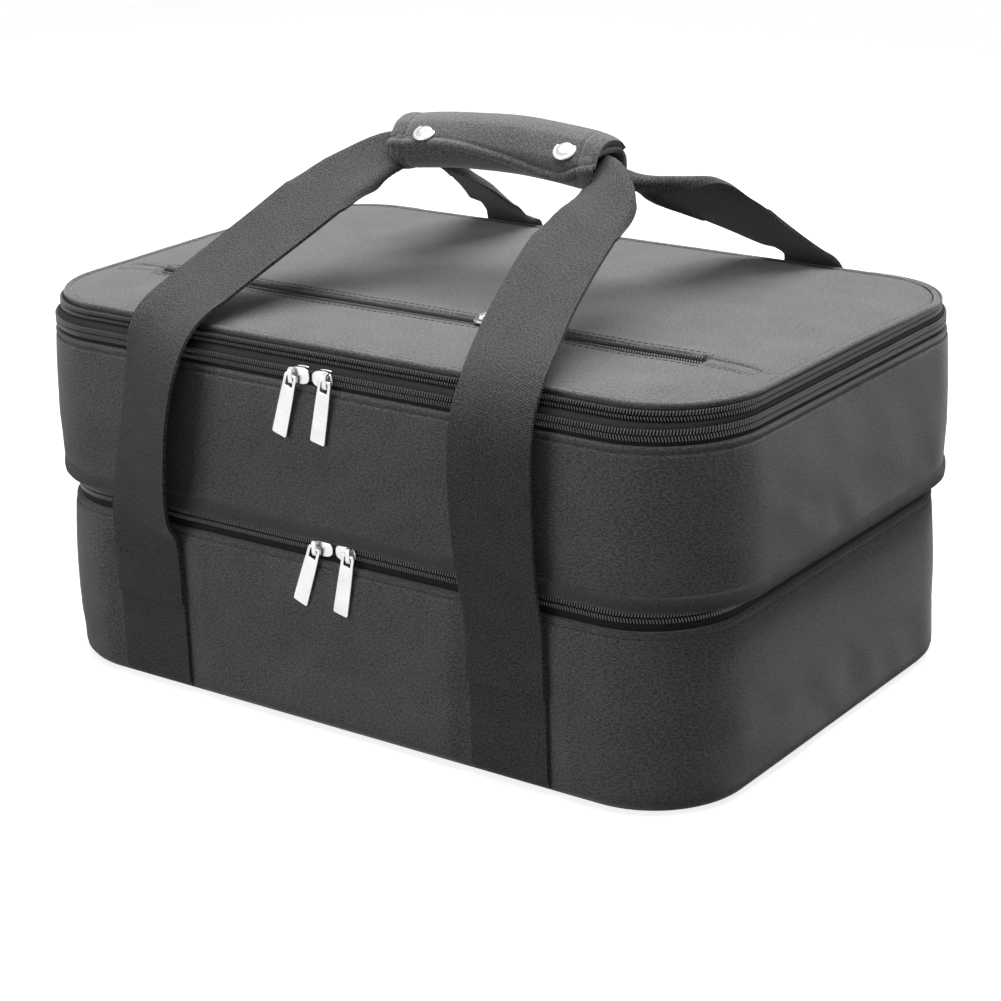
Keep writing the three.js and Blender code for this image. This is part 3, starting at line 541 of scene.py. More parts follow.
def makeLiner():
    material, tree, shader = newMaterial("silveredLiner", Metallic=0.65)
    creases = addNode(tree, "ShaderNodeTexVoronoi", {"feature": "DISTANCE_TO_EDGE"},
                      Vector=clothVector(tree), Scale=55.0)
    fine = noiseOf(tree, clothVector(tree), 160.0, 4.0)
    line = spreadOf(tree, creases.outputs[0], 0.0, 0.12)
    height = sums(tree, "MULTIPLY_ADD", fine, 0.5, sums(tree, "MULTIPLY", line, 0.6))
    shade = shadeOf(tree, fine, (0.50, 0.51, 0.53, 1), (0.68, 0.69, 0.71, 1))
    tree.links.new(shade, shader.inputs["Base Color"])
    tree.links.new(spreadOf(tree, fine, 0.3, 0.7, 0.3, 0.48), shader.inputs["Roughness"])
    bumpOf(tree, shader, height, 0.5, 1.2 * mm)
    return material


def makePlain(name, dark, light, scale, roughness):
    material, tree, shader = newMaterial(name, Roughness=roughness)
    mottle = noiseOf(tree, placeVector(tree), scale, 4.0)
    tree.links.new(shadeOf(tree, mottle, dark, light), shader.inputs["Base Color"])
    bumpOf(tree, shader, mottle, 0.3, 0.2 * mm)
    return material


coilNylon = makeCoil()
nickel = makeNickel()
silverLiner = makeLiner()
boardGrain = makePlain("greyBoard", grey(0.14, 0.05), grey(0.24, 0.05), 700.0, 0.9)
thread = makePlain("sewingThread", grey(0.05), grey(0.11), 3000.0, 0.8)
print("materials made")


# The two padded decks

strapX = {"Left": -124, "Right": 106}
lowerDeck = {"halfX": 206 * mm, "halfY": 140 * mm, "radius": 50 * mm, "floor": 0.6 * mm, "top": 92.2 * mm,
             "wall": 5.9 * mm, "belly": 2.2 * mm, "seed": 3.1, "footSwell": 1.0, "underStraps": (-1, 1)}
upperDeck = {"halfX": 213.6 * mm, "halfY": 140 * mm, "radius": 54 * mm, "floor": 104.8 * mm, "top": 183.2 * mm,
             "wall": 4.9 * mm, "belly": 1.2 * mm, "seed": 7.7, "footSwell": 0.0,
             "underStraps": (104 * mm, 120 * mm)}
shell = {"bottomTurn": 4 * mm, "topRoll": 1.3 * mm, "seamDrop": 3.4 * mm, "rowSpacing": 3 * mm,
         "fineRows": 7 * mm}


def strapMask(places, span):
    # 1 where a strap lies on the wall and keeps the cloth flat
    x, y, z = places[..., 0], places[..., 1], places[..., 2]
    mask = np.zeros_like(x)
    for centre in strapX.values():
        mask = np.maximum(mask, 1 - smoothStep(23 * mm, 37 * mm, np.abs(x - centre * mm)))
    return mask * (np.abs(y) > 120 * mm) * ((z > span[0]) & (z < span[1]))


def deckRelief(deck):
    height = deck["top"] - deck["floor"]

    def relief(places):
        x, y, z = places[..., 0], places[..., 1], places[..., 2]
        share = np.clip((z - deck["floor"]) / height, 0, 1)
        outer = np.zeros_like(z)
        outer[:deck["outerRows"]] = 1
        arched = np.sin(math.pi * share) ** 0.8
        foot = deck["footSwell"] * smoothStep(0.5, 0.3, share) * smoothStep(0, 0.05, share)
        belly = deck["belly"] * np.maximum(arched, foot)
        waves = 1.5 * mm * grain(x, z * 1.4, 85 * mm, deck["seed"], y)
        creases = 0.75 * mm * grain(x + z * 0.7, z * 0.6 - x * 0.2, 24 * mm, deck["seed"] + 5, y + z * 0.5)
        folds = grain(x * 0.9 - z * 0.8, z * 0.35 + x * 0.12, 17 * mm, deck["seed"] + 9, y * 0.9 + z * 0.6)
        lower = 1 - smoothStep(0.1, 0.75, share)
        soft = waves + creases * (0.35 + 0.65 * lower) + 0.5 * mm * folds * lower
        pucker = 0.30 * mm * grain(x, z * 0.3, 5.5 * mm, deck["seed"] + 2, y)
        atSeam = bump(z, deck["top"] - 4.2 * mm, 2.6 * mm)
        seam = -0.75 * mm * bump(z, deck["top"] - shell["seamDrop"], 0.8 * mm)
        fade = smoothStep(0, 0.07, share) * smoothStep(0, 0.05, 1 - share)
        out = (belly + soft) * fade * (1 - strapMask(places, deck["underStraps"]))
        return outer * (out + seam + pucker * atSeam)

    return relief


def seamLine(deck):
    # the wall's own surface along its seam, for a row of stitches that lies 0.15 mm proud
    z = deck["top"] - shell["seamDrop"]
    flat, normals, _ = ring(*inset(deck, 0, 0)[:3])
    out = deckRelief(deck)(np.column_stack([flat, np.full(len(flat), z)])[None])[0] + 0.15 * mm
    return [(*place, z) for place in flat + normals * out[:, None]]


def deckShell(name, deck):
    # up the outside, over the rolled top and down the inside to the middle of the floor
    turn, roll = shell["bottomTurn"], shell["topRoll"]
    floor, top, wall = deck["floor"], deck["top"], deck["wall"]
    rows = [inset(deck, turn, floor, scale=share) for share in (0.0, 0.3, 0.6, 0.85, 0.97)]
    for step in range(9):
        angle = math.pi / 2 * step / 8
        rows.append(inset(deck, turn * (1 - math.sin(angle)), floor + turn * (1 - math.cos(angle))))
    climb = top - floor - turn - shell["fineRows"]
    steps = round(climb / shell["rowSpacing"])
    rows += [inset(deck, 0, floor + turn + climb * step / steps) for step in range(1, steps + 1)]
    rows += [inset(deck, 0, top - drop * mm) for drop in (6.2, 5.4, 4.8, 4.2, 3.8, 3.4, 3.0, 2.6, 2.1, 1.5)]
    for angle in np.radians((20, 45, 70, 90)):
        rows.append(inset(deck, roll * (1 - math.cos(angle)), top - roll * (1 - math.sin(angle))))
    deck["outerRows"] = len(rows)
    for angle in np.radians((60, 20)):
        rows.append(inset(deck, wall - roll * (1 - math.cos(angle)), top - roll * (1 - math.sin(angle))))
    rows += [inset(deck, wall, z) for z in (top - 4 * mm, (top + floor) / 2, floor + wall + 4 * mm)]
    rows += [inset(deck, wall + 4 * mm, floor + wall, scale=share) for share in (1, 0.8, 0.4, 0.0)]
    return loft(name, rows, deckRelief(deck))


decks = (("lower", lowerDeck), ("upper", upperDeck))
for label, deck in decks:
    wallPiece = deckShell(f"{label}DeckWall", deck)
    settle(wallPiece, heather, "heather", f"{label}_shell", body=f"{label}_case")
print("deck walls made")


# Rows of stitches: short dashes of thread, one piece for each row or group of rows

stitch = {"long": 2.6 * mm, "wide": 0.55 * mm, "high": 0.4 * mm, "pitch": 3.7 * mm}


def stitchRows(name, rows, body):
    pieces = []
    for points in rows:
        unit = roundedBlock("dash", (stitch["long"], stitch["wide"], stitch["high"]), (0, 0, 0), 0.14 * mm)
        pieces.append(alongPath("row", unit, points, stitch["pitch"]))
    return settle(join(name, pieces), thread, "webbing", body=body)


for label, deck in decks:
    stitchRows(f"{label}DeckStitches", [seamLine(deck)], f"{label}_case")
print("wall seams stitched")


# Silver liners hang inside each deck with slack creases

def linerBag(label, deck, gap, floor, top):
    turn, steps = 6 * mm, 14
    rows = [inset(deck, gap + turn, floor, scale=share) for share in (0.0, 0.35, 0.7, 0.95, 1)]
    rows.append(inset(deck, gap + 2 * mm, floor + 1.5 * mm))
    rows += [inset(deck, gap, floor + turn + (top - floor - turn) * step / steps) for step in range(steps + 1)]

    def relief(places):
        x, y, z = places[..., 0], places[..., 1], places[..., 2]
        slack = smoothStep(floor, floor + 15 * mm, z) * smoothStep(0, 12 * mm, top - z)
        return slack * (0.7 * mm * grain(x, z, 30 * mm, 4.4, y) - 0.9 * mm)

    bag = loft(f"{label}DeckLiner", rows, relief, {"side": 110, "end": 66, "turn": 14})
    thicken(bag, 0.5 * mm, -1)
    settle(bag, silverLiner, "liner", f"{label}_liner", body=f"{label}_case")


def paintNode(nodeName, material):
    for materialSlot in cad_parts[nodeName].material_slots:
        materialSlot.material = material


linerBag("lower", lowerDeck, 6.4 * mm, 12 * mm, 91 * mm)
linerBag("upper", upperDeck, 5.4 * mm, 112.5 * mm, 180.6 * mm)
paintNode("lower_base_board", boardGrain)
paintNode("upper_base_board", boardGrain)


# Binding round the foot of the upper deck

bindingBand = {"bottom": 101.9 * mm, "top": 111.2 * mm, "proud": 1.5 * mm}


def makeBinding():
    low, high, proud = bindingBand["bottom"], bindingBand["top"], bindingBand["proud"]
    foot = [(3.2 * mm, low + 0.9 * mm), (1.6 * mm, low + 0.2 * mm), (0.2 * mm, low + 0.5 * mm)]
    face = [(-proud * 0.75, low + 2 * mm)]
    for share, climb in ((0.95, 0.4), (1, 0.6), (0.9, 0.8), (0.7, 0.93)):
        face.append((-proud * share, low + climb * (high - low)))
    tucked = [(-0.3 * mm, high), (0.6 * mm, high - 0.2 * mm), (1.2 * mm, high - 2 * mm),
              (3.2 * mm, low + 2.4 * mm)]
    rows = [inset(upperDeck, inward, z) for inward, z in foot + face + tucked + foot[:1]]

    def relief(places):
        x, y, z = places[..., 0], places[..., 1], places[..., 2]
        return 0.3 * mm * grain(x, z, 9 * mm, 2.2, y) + 0.2 * mm * grain(x, z * 0, 40 * mm, 5.2, y)

    return loft("bindingBand", rows, relief)


settle(makeBinding(), bindingWeave, "binding", "upper_binding", body="upper_case")


# Zips: each half is a tape and one row of the coil. The coil runs from back corner to back corner
# by way of the front, the tape goes all round.

zips = {
    "deck": {"base": lowerDeck, "end": 2.25 * mm, "side": 2.25 * mm, "height": 99.0 * mm, "tooth": 2.75 * mm,
             "low": 91.4 * mm, "high": 104.3 * mm, "tuck": 0, "bodies": ("lower_case", "upper_case")},
    "lid": {"base": upperDeck, "end": 1.05 * mm, "side": 1.05 * mm, "height": 188.2 * mm, "tooth": 2.75 * mm,
            "low": 181.0 * mm, "high": 191.6 * mm, "tuck": 0, "bodies": ("upper_case", "lid_rim")},
    "expansion": {"base": upperDeck, "end": 2.2 * mm, "side": 6.0 * mm, "height": 196.1 * mm, "tooth": 2.5 * mm,
                  "low": 193.2 * mm, "high": 198.4 * mm, "tuck": 4.4 * mm, "bodies": ("lid_rim", "lid_panel")},
}
coil = {"pitch": 1.5 * mm, "wide": 0.95 * mm, "proud": 1.3 * mm, "gap": 0.12 * mm, "lean": 0.22,
        "backEnd": 150 * mm, "tape": 0.7 * mm}


def coilPath(base, end, side):
    flat, _, run = ring(*inset(base, end, 0, side)[:3])
    keep = (run >= coil["backEnd"]) & (run <= run[-1] - coil["backEnd"])
    return [(x, y, 0) for x, y in flat[keep]]


def coilRow(name, height, direction, path):
    # loops of the coil, each a rounded bar that leans, half a pitch on in the upper or back half
    unit = roundedBlock("tooth", (coil["wide"], coil["proud"], height), (0, 0, 0), 0.3 * mm)
    shear = Matrix.Identity(4)
    shear[0][2] = coil["lean"] * direction
    unit.data.transform(shear)
    return alongPath(name, unit, path, coil["pitch"], coil["pitch"] / 2 if direction > 0 else 0)


def tapeStrip(name, zipper, low, high, tuck):
    # with a tuck, the tape's top edge turns in under the panel that it is sewn to
    thick, behind = coil["tape"], coil["tape"] / 2
    line = [(0, low), (0, (low + high) / 2), (0, high)]
    if tuck:
        line += [(tuck, high + thick), (tuck, high)]
        high -= thick
    line += [(thick, high), (thick, low), (0, low)]
    end, side = zipper["end"] + behind, zipper["side"] + behind
    rows = [inset(zipper["base"], end + deep, z, side + deep) for deep, z in line]
    return loft(name, rows, counts={"side": 60, "end": 36, "turn": 16})


def makeZip(name, zipper):
    for half, direction, body in zip(("lower", "upper"), (-1, 1), zipper["bodies"]):
        middle = zipper["height"] + direction * coil["gap"]
        limits = (zipper["low"], middle) if direction < 0 else (middle, zipper["high"])
        tuck = zipper["tuck"] if direction > 0 else 0
        tape = tapeStrip(f"{name}Zip{half.title()}Tape", zipper, *limits, tuck)
        settle(tape, tapeWeave, "zip", body=body)
        path = coilPath(zipper["base"], zipper["end"], zipper["side"])
        row = coilRow(f"{name}Zip{half.title()}Coil", zipper["tooth"], direction, path)
        row.data.transform(Matrix.Translation((0, 0, middle + direction * zipper["tooth"] / 2)))
        settle(row, coilNylon, "zip", f"{name}_zip_{half}_half", body=body)


for zipName, zipper in zips.items():
    makeZip(zipName, zipper)
print("zips made")


# The lid: a padded panel with a rolled edge, a zipped pocket along the front and soft folds

lid = {"halfX": 212 * mm, "halfY": 131.5 * mm, "radius": 50 * mm, "panel": 203.4 * mm, "roll": 1.7 * mm,
       "rollCentre": 200.2 * mm, "crown": 1.4 * mm, "slotY": -67 * mm, "slotHalf": 172 * mm, "under": 197.4 * mm,
       "inner": 3.0 * mm, "edgeDrop": 2.4 * mm, "backDrop": 2.2 * mm}
lidFolds = ((92, 118, 0.62, 15, 1.5), (60, 96, 0.5, 11, -0.9), (-20, 60, 0.35, 19, 0.8))


def between(up, down, value):
    # rises from 0 to 1 over the first span of mm and falls back over the second
    return smoothStep(up[0] * mm, up[1] * mm, value) * (1 - smoothStep(down[0] * mm, down[1] * mm, value))


def backSlope(y):
    return lid["backDrop"] * smoothStep(0, 125 * mm, y)


def edgeDepth(x, y):
    # how far a place lies inside the lid's outline
    overX = np.abs(x) - lid["halfX"] + lid["radius"]
    overY = np.abs(y) - lid["halfY"] + lid["radius"]
    outside = np.hypot(np.maximum(overX, 0), np.maximum(overY, 0))
    return lid["radius"] - outside - np.minimum(np.maximum(overX, overY), 0)


def strapPull(x, y):
    # the folds where the back strap pulls at the panel
    height = 0
    for startX, startY, turn, reach, deep in lidFolds:
        away = (x - startX * mm) * math.sin(turn) - (y - startY * mm) * math.cos(turn)
        ahead = -(x - startX * mm) * math.cos(turn) - (y - startY * mm) * math.sin(turn)
        height = height + deep * mm * bump(away, 0, reach * mm) * bump(ahead, 40 * mm, 75 * mm)
    return height


def pocketRelief(x, y, soft):
    # the zip lies in a channel under the back panel's edge, and past its ends the folds run on
    past = y - lid["slotY"]
    inside = 1 - smoothStep(-2 * mm, 2 * mm, np.abs(x) - lid["slotHalf"])
    height = -1.6 * mm * soft * between((-16, -5), (2.2, 3), past)
    height = height - 1.2 * mm * between((-2.9, -2.2), (2.0, 2.7), past)
    height = inside * (height + 1.5 * mm * between((2.2, 3.2), (5, 18), past))
    pucker = 0.25 * mm * grain(x, y * 0.4, 5 * mm, 9.4) * bump(past, -7.5 * mm, 2.5 * mm)
    onward = 0.7 * bump(past, 6 * mm, 4 * mm) - 0.6 * bump(past, -6 * mm, 0.9 * mm)
    onward = onward - 1.7 * bump(past, 2.4 * mm, 0.9 * mm)
    return height + pucker + soft * (1 - inside) * mm * onward


def lidHeight(x, y):
    depth = edgeDepth(x, y)
    edge = np.clip((depth - lid["inner"]) / (24 * mm), 0, 1)
    height = lid["panel"] - lid["edgeDrop"] * (1 - edge) ** 2 - 0.9 * mm * bump(depth, lid["inner"], 0.8 * mm)
    height = height + lid["crown"] * smoothStep(6 * mm, 60 * mm, depth) - backSlope(y)
    soft = smoothStep(4 * mm, 22 * mm, depth)
    wavy = 0.8 * mm * grain(x, y, 75 * mm, 1.3) + 0.4 * mm * grain(x + y * 0.6, y - x * 0.3, 26 * mm, 6.1)
    return height + soft * (wavy + strapPull(x, y)) + pocketRelief(x, y, soft)


def makeLidRoll():
    # the padded edge: a soft tube of the same cloth, sewn down in the groove inside it
    roll, centre = lid["roll"], lid["rollCentre"]
    rows = [inset(lid, 7 * mm, 198.5 * mm), inset(lid, roll + 0.8 * mm, centre - roll)]
    for angle in range(-90, 166, 15):
        turn = math.radians(angle)
        rows.append(inset(lid, roll * (1 - math.cos(turn)), centre + roll * math.sin(turn)))
    rows += [inset(lid, 6.4 * mm, 199.6 * mm), inset(lid, 7 * mm, 198.5 * mm)]

    def relief(places):
        x, y, z = places[..., 0], places[..., 1], places[..., 2]
        free = smoothStep(198.6 * mm, 200.2 * mm, z)
        places[..., 2] -= backSlope(y)
        return free * (0.3 * mm * grain(x, z * 0, 26 * mm, 4.4, y) + 0.2 * mm * grain(x, z, 6 * mm, 8.4, y))

    return loft("lidRoll", rows, relief)


rollPiece = settle(makeLidRoll(), heather, "heather", body="lid_panel")


def makeLidPanel():
    radius = lid["radius"] - lid["inner"]
    straightY = lid["halfY"] - lid["radius"]
    slot = lid["slotY"]
    corner = [straightY + radius * math.sin(math.radians(90 * step / 26)) for step in range(27)]
    fine = list(np.arange(slot - 9.6 * mm, slot + 9.6 * mm, 0.6 * mm))
    coarse = list(np.arange(slot + 12 * mm, straightY - 1 * mm, 2.6 * mm))
    front = [-row for row in corner if -row < slot - 10 * mm]
    rowsY = np.array(sorted(front + fine + coarse + corner))
    share = np.linspace(-1, 1, 191)
    spread = np.sign(share) * (1 - (1 - np.abs(share)) ** 1.3)
    overY = np.maximum(np.abs(rowsY) - straightY, 0)
    halfWidth = lid["halfX"] - lid["radius"] + np.sqrt(np.maximum(radius ** 2 - overY ** 2, 0))
    x = halfWidth[:, None] * spread[None, :]
    y = np.broadcast_to(rowsY[:, None], x.shape)
    panel = gridSheet("lidPanel", np.dstack([x, y, lidHeight(x, y)]), np.dstack([x, y]))
    activate(panel)
    bpy.ops.object.mode_set(mode="EDIT")
    bpy.ops.mesh.select_all(action="SELECT")
    bpy.ops.mesh.region_to_loop()
    for drop in (1.2 * mm, 1.0 * mm):
        bpy.ops.mesh.extrude_edges_move(TRANSFORM_OT_translate={"value": (0, 0, -drop)})
    bpy.ops.mesh.edge_face_add()
    bpy.ops.mesh.select_all(action="SELECT")
    bpy.ops.mesh.normals_make_consistent(inside=False)
    bpy.ops.object.mode_set(mode="OBJECT")
    return panel


panelPiece = settle(makeLidPanel(), heather, "heather", "lid_shell", "lid_foam", body="lid_panel")


def panelLine(x, y):
    # a row of stitches that lies on the panel
    y = np.full(len(x), y)
    return list(zip(x, y, lidHeight(x, y) + 0.15 * mm))


slotEnd = lid["slotHalf"] + 26 * mm
slotRows = [panelLine(np.linspace(-slotEnd, slotEnd, 120), lid["slotY"] + beside * mm) for beside in (5.6, -6.2)]
stitchRows("lidPanelStitches", slotRows, "lid_panel")


def makeLidLining():
    rows = [inset(lid, 3.1 * mm, lid["under"] - 0.3 * mm, scale=share) for share in (0.0, 0.4, 0.7, 0.93, 1.0)]
    rows += [inset(lid, 2.7 * mm, lid["under"] + 0.1 * mm), inset(lid, 3.1 * mm, lid["under"] + 0.4 * mm)]

    def relief(places):
        places[..., 2] -= backSlope(places[..., 1])
        return np.zeros_like(places[..., 2])

    lining = loft("lidLining", rows, relief, counts={"side": 90, "end": 54, "turn": 12})
    settle(lining, silverLiner, "liner", "lid_liner", body="lid_panel")


makeLidLining()


# The strip between the two lid zips, and the pleated gusset behind the outer one

def makeRim():
    def at(share, z, proud):
        return inset(upperDeck, (1.4 + 1.1 * share) * mm - proud, z, (1.5 + 4.9 * share) * mm - proud)

    section = ((0.0, 190.9, 0), (0.1, 191.8, 0.25), (0.5, 192.9, 0.3), (1.0, 193.7, 0), (1.25, 193.6, 0),
               (1.25, 192.6, 0), (0.6, 191.9, -0.5), (0.3, 190.9, -0.3), (0.0, 190.9, 0))
    rows = [at(share, z * mm, proud * mm) for share, z, proud in section]
    strip = loft("rimStrip", rows, counts={"side": 90, "end": 54, "turn": 18})
    settle(strip, tapeWeave, "zip", "rim_band", body="lid_rim")
    pleats = []
    for step in range(13):
        deep = (8.2 if step % 2 else 9.6) * mm
        pleats.append(inset(upperDeck, deep, (192.7 + 3.9 * step / 12) * mm, deep + 0.6 * mm))
    gusset = loft("expansionGusset", pleats, counts={"side": 60, "end": 36, "turn": 14})
    thicken(gusset, 0.25 * mm, -1)
    settle(gusset, heather, "heather", "expansion_gusset")
    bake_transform(gusset)


makeRim()


# Fabric hinges across the back, one at each zip line

def hingeCloth(name, low, high):
    wide, tall = np.meshgrid(np.linspace(-153 * mm, 153 * mm, 62), np.linspace(low, high, 15))
    out = 139.4 * mm + 1.1 * mm * np.sin(math.pi * (tall - low) / (high - low))
    cloth = gridSheet(name, np.dstack([-wide, out, tall]), np.dstack([wide, tall]))
    thicken(cloth, 0.8 * mm, 0)
    settle(cloth, heather, "heather")
    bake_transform(cloth)


hingeCloth("deckHingeCloth", 89 * mm, 107 * mm)
hingeCloth("lidHingeCloth", 179.5 * mm, 192.6 * mm)
print("lid made")


# Straps. Keys are place, across and drawn width, in mm.

frontLeft = [(-124, -143.1, 50, 1, 0, 0, 45), (-124, -143.1, 66, 1, 0, 0, 45), (-124, -143.2, 80, 1, -0.01, 0, 45),
             (-123.9, -144, 88, 1, -0.04, 0, 45), (-122.95, -146.3, 97.1, 0.99, -0.16, 0, 45),
             (-119.8, -149, 113.1, 0.97, -0.24, 0, 45), (-113.5, -151.4, 137.7, 0.95, -0.31, 0, 45),
             (-107.5, -152.2, 164, 0.95, -0.32, 0, 45), (-105, -151.3, 178, 0.96, -0.28, -0.01, 45),
             (-103.5, -148.6, 189, 0.97, -0.22, -0.02, 45), (-103, -144.2, 198, 0.99, -0.14, -0.02, 45),
             (-102.3, -138.2, 204.9, 1, -0.07, -0.02, 45), (-100.3, -130.5, 210.2, 1, -0.03, -0.02, 45),
             (-97.3, -120, 215.4, 1, 0, -0.03, 45), (-94.7, -111.3, 220, 1, 0, -0.03, 45),
             (-85.5, -81.4, 235.7, 1, 0, -0.05, 45), (-76.3, -51.4, 251.4, 1, 0, -0.08, 45),
             (-71.5, -36, 259, 0.98, -0.1, -0.15, 42), (-67, -22, 264.2, 0.88, -0.32, -0.34, 33),
             (-62, -11, 268.3, 0.6, -0.55, -0.58, 26), (-56, -2.5, 270.6, 0.2, -0.64, -0.74, 20.5),
             (-48, 3, 272.6, 0.05, -0.75, -0.66, 18)]
frontRight = [(106, -143.1, 50, -1, 0, 0, 45), (106, -143.1, 66, -1, 0, 0, 45), (106, -143.2, 80, -1, 0, 0, 45),
              (106, -144, 88, -1, -0.01, 0, 45), (106.05, -146.3, 97.1, -1, -0.03, 0, 45),
              (106.2, -149, 113.1, -1, -0.04, 0, 45), (106.5, -151.4, 137.7, -1, -0.06, 0, 45),
              (106.85, -152.2, 164, -1, -0.06, 0, 45), (107, -151.3, 178, -1, -0.05, 0, 45),
              (107, -148.6, 189, -1, -0.04, 0, 45), (107, -144.2, 198, -1, -0.02, 0, 45),
              (106.4, -138.2, 204.9, -1, 0, 0, 45), (104.6, -130.5, 210.6, -1, 0, 0, 45),
              (101.9, -120, 216.6, -1, 0, 0, 45), (99.5, -111.3, 221.4, -1, 0, 0, 45),
              (93.5, -81.4, 236.8, -1, 0, 0, 45), (88.3, -51.4, 250, -1, 0, 0, 45),
              (86.5, -32, 259, -0.99, -0.05, -0.03, 40), (82, -19.5, 264.4, -0.82, -0.42, -0.34, 33),
              (77, -11, 267.4, -0.58, -0.6, -0.52, 27), (71.2, -4, 269.8, -0.3, -0.68, -0.66, 22.5),
              (64, 1, 271.4, -0.1, -0.72, -0.7, 19), (54, 5, 273.4, 0, -0.85, -0.5, 17.5)]
backLeft = [(-87, 142.7, 188.5, -1, 0.05, 0, 45), (-87, 142.7, 196, -0.97, 0.2, 0, 45),
            (-85.9, 137, 203, -0.96, 0.25, 0.03, 45), (-83, 122.7, 210, -0.95, 0.27, 0.08, 45),
            (-76.5, 101.5, 222.6, -0.95, 0.25, 0.1, 45), (-70.5, 75, 239.6, -0.95, 0.25, 0.12, 43),
            (-68.5, 50, 253, -0.94, -0.05, 0.22, 38), (-66, 32, 260.3, -0.6, -0.7, 0.1, 26),
            (-59, 19, 264.6, -0.15, -1, 0, 18), (-48, 11, 268, 0, -1, 0, 15)]
backRight = [(112, 142.7, 188.5, 1, -0.1, 0, 45), (112, 142.7, 196, 0.95, -0.3, 0, 45),
             (110.6, 137, 202.6, 0.94, -0.3, 0.03, 45), (107.6, 126, 208.6, 0.94, -0.28, 0.08, 45),
             (100, 102, 223.6, 0.94, -0.2, 0.16, 45), (92, 76, 240.4, 0.93, -0.12, 0.3, 44),
             (86.5, 51, 254.4, 0.92, -0.05, 0.36, 40), (81.5, 33, 261.6, 0.75, -0.6, 0.28, 30),
             (74, 20, 265.4, 0.25, -1, 0.1, 20), (62, 11, 268.4, 0, -1, 0, 15)]
frontRun = [(-25, 8, 276.2), (7, 8.5, 277.8), (39, 7.5, 275.8)]
backRun = [(-25, 8, 271.6), (7, 8.5, 273.2), (39, 8, 271.6)]


def strapWaves(seed, amount):
    def relief(run, across, place):
        long, wide = np.broadcast_arrays(run, across)
        free = amount * smoothStep(84 * mm, 125 * mm, place[:, 2])[:, None]  # flat where it is sewn down
        waves = grain(long, wide, 60 * mm, seed) * 1.3 + grain(long, wide * 0.5, 22 * mm, seed + 3) * 0.4
        return free * waves
    return relief


strapCuts = {"patch": 77 * mm, "foot": 92 * mm, "leg": 203.9 * mm}


def makeFrontStrap():
    # one long strap, cut where it turns from one body to the next: base, bending foot, leg, loop
    over = [(x, y, z, 0, -1, -0.2, 17) for x, y, z in frontRun]
    places, uvs = ribbonGrid(frontLeft + over + list(reversed(frontRight)), relief=strapWaves(2.5, 0.5 * mm))
    middle = places[:, places.shape[1] // 2]
    left, right = [0], [len(places) - 1]
    for level in strapCuts.values():
        onFace = np.where((middle[:, 2] < level) & (middle[:, 1] < -100 * mm))[0]
        split = np.where(np.diff(onFace) > 1)[0][0]
        left.append(onFace[split])
        right.append(onFace[split + 1])

    def cutPiece(name, ends, *nodes, body=None):
        first, last = sorted(ends)
        piece = strapPiece(name, places[first:last + 1], uvs[first:last + 1])
        return settle(piece, strapWeave, "webbing", *nodes, body=body)

    for side, cuts in (("Left", left), ("Right", right)):
        cutPiece(f"frontPatch{side}", cuts[0:2], body="lower_case")
        foot = cutPiece(f"frontFoot{side}", cuts[1:3])
        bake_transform(foot)
        leg = cutPiece(f"frontLeg{side}", cuts[2:4], f"front_strap_leg_{side.lower()}")
        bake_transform(leg)
    front = cutPiece("frontLoop", (left[3], right[3]), "front_strap_loop", body="front_loop")
    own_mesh(front)


def makeBackStrap():
    # the loop over the lid's edge into the grip, and the two legs up the back
    under = [(x, y, z, 0, -1, 0, 15) for x, y, z in backRun]
    back = ribbon("backLoop", backLeft + under + list(reversed(backRight)), relief=strapWaves(6.5, 0.3 * mm))
    settle(back, strapWeave, "webbing", "back_strap_loop")
    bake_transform(back)
    shares = ((0, 0), (0.12, 0), (0.5, 0.5), (0.88, 1), (1, 1))
    for side, high in (("Left", -87), ("Right", 112)):
        low = strapX[side]
        keys = [(low + (high - low) * lean, 142.7, 99.8 + 88.1 * climb, -1, 0, 0, 45) for climb, lean in shares]
        leg = ribbon(f"backLeg{side}", keys, start=0.11)
        settle(leg, strapWeave, "webbing", f"back_strap_leg_{side.lower()}", body="upper_case")


def makeBaseStrap(side, x):
    # down the front, under the floor and up the back, in one piece with the bottom corners rounded
    front, low, turn = -141.3, 1.2, 7.3
    angles = np.radians(np.arange(0, 91, 10))
    bend = [(turn * (1 - math.cos(angle)), turn * (1 - math.sin(angle))) for angle in angles]
    line = [(front, z) for z in np.arange(82, low + turn, -4)]
    line += [(front + inward, low + climb) for inward, climb in bend]
    line += [(y, low) for y in np.arange(front + turn + 2, -front - turn, 4)]
    line += [(-front - inward, low + climb) for climb, inward in bend]
    line += [(-front, z) for z in np.arange(low + turn + 2, 99, 4)] + [(-front, 99.2)]
    keys = [(x, y, z, -1, 0, 0, 45) for y, z in line]
    strap = ribbon(f"baseStrap{side}", keys, start=-0.4, spacing=2 * mm, across=6)
    settle(strap, strapWeave, "webbing", f"base_strap_{side.lower()}", body="lower_case")


boxHalf = 19.5


def boxStitches(name, x, low, high, y):
    # a sewn box with its diagonals, where one strap lies on another
    left, right = x - boxHalf, x + boxHalf
    box = [(left, low), (right, low), (right, high), (left, high), (left, low)]
    rows = []
    for line in (box, [(left, low), (right, high)], [(right, low), (left, high)]):
        points = [place for start, end in zip(line, line[1:]) for place in np.linspace(start, end, 12)[:-1]]
        rows.append([(px * mm, y * mm, pz * mm) for px, pz in points + line[-1:]])
    stitchRows(name, rows, "lower_case")


makeFrontStrap()
makeBackStrap()
for side, x in strapX.items():
    makeBaseStrap(side, x)
for side, x in strapX.items():
    boxStitches(f"frontBoxStitches{side}", x, 53, 76, -144.15)
    boxStitches(f"backBoxStitches{side}", x, 72, 95, 142.45)
print("straps made")


# The grip: a padded wrap round both straps, and the flap that closes over it with two snaps

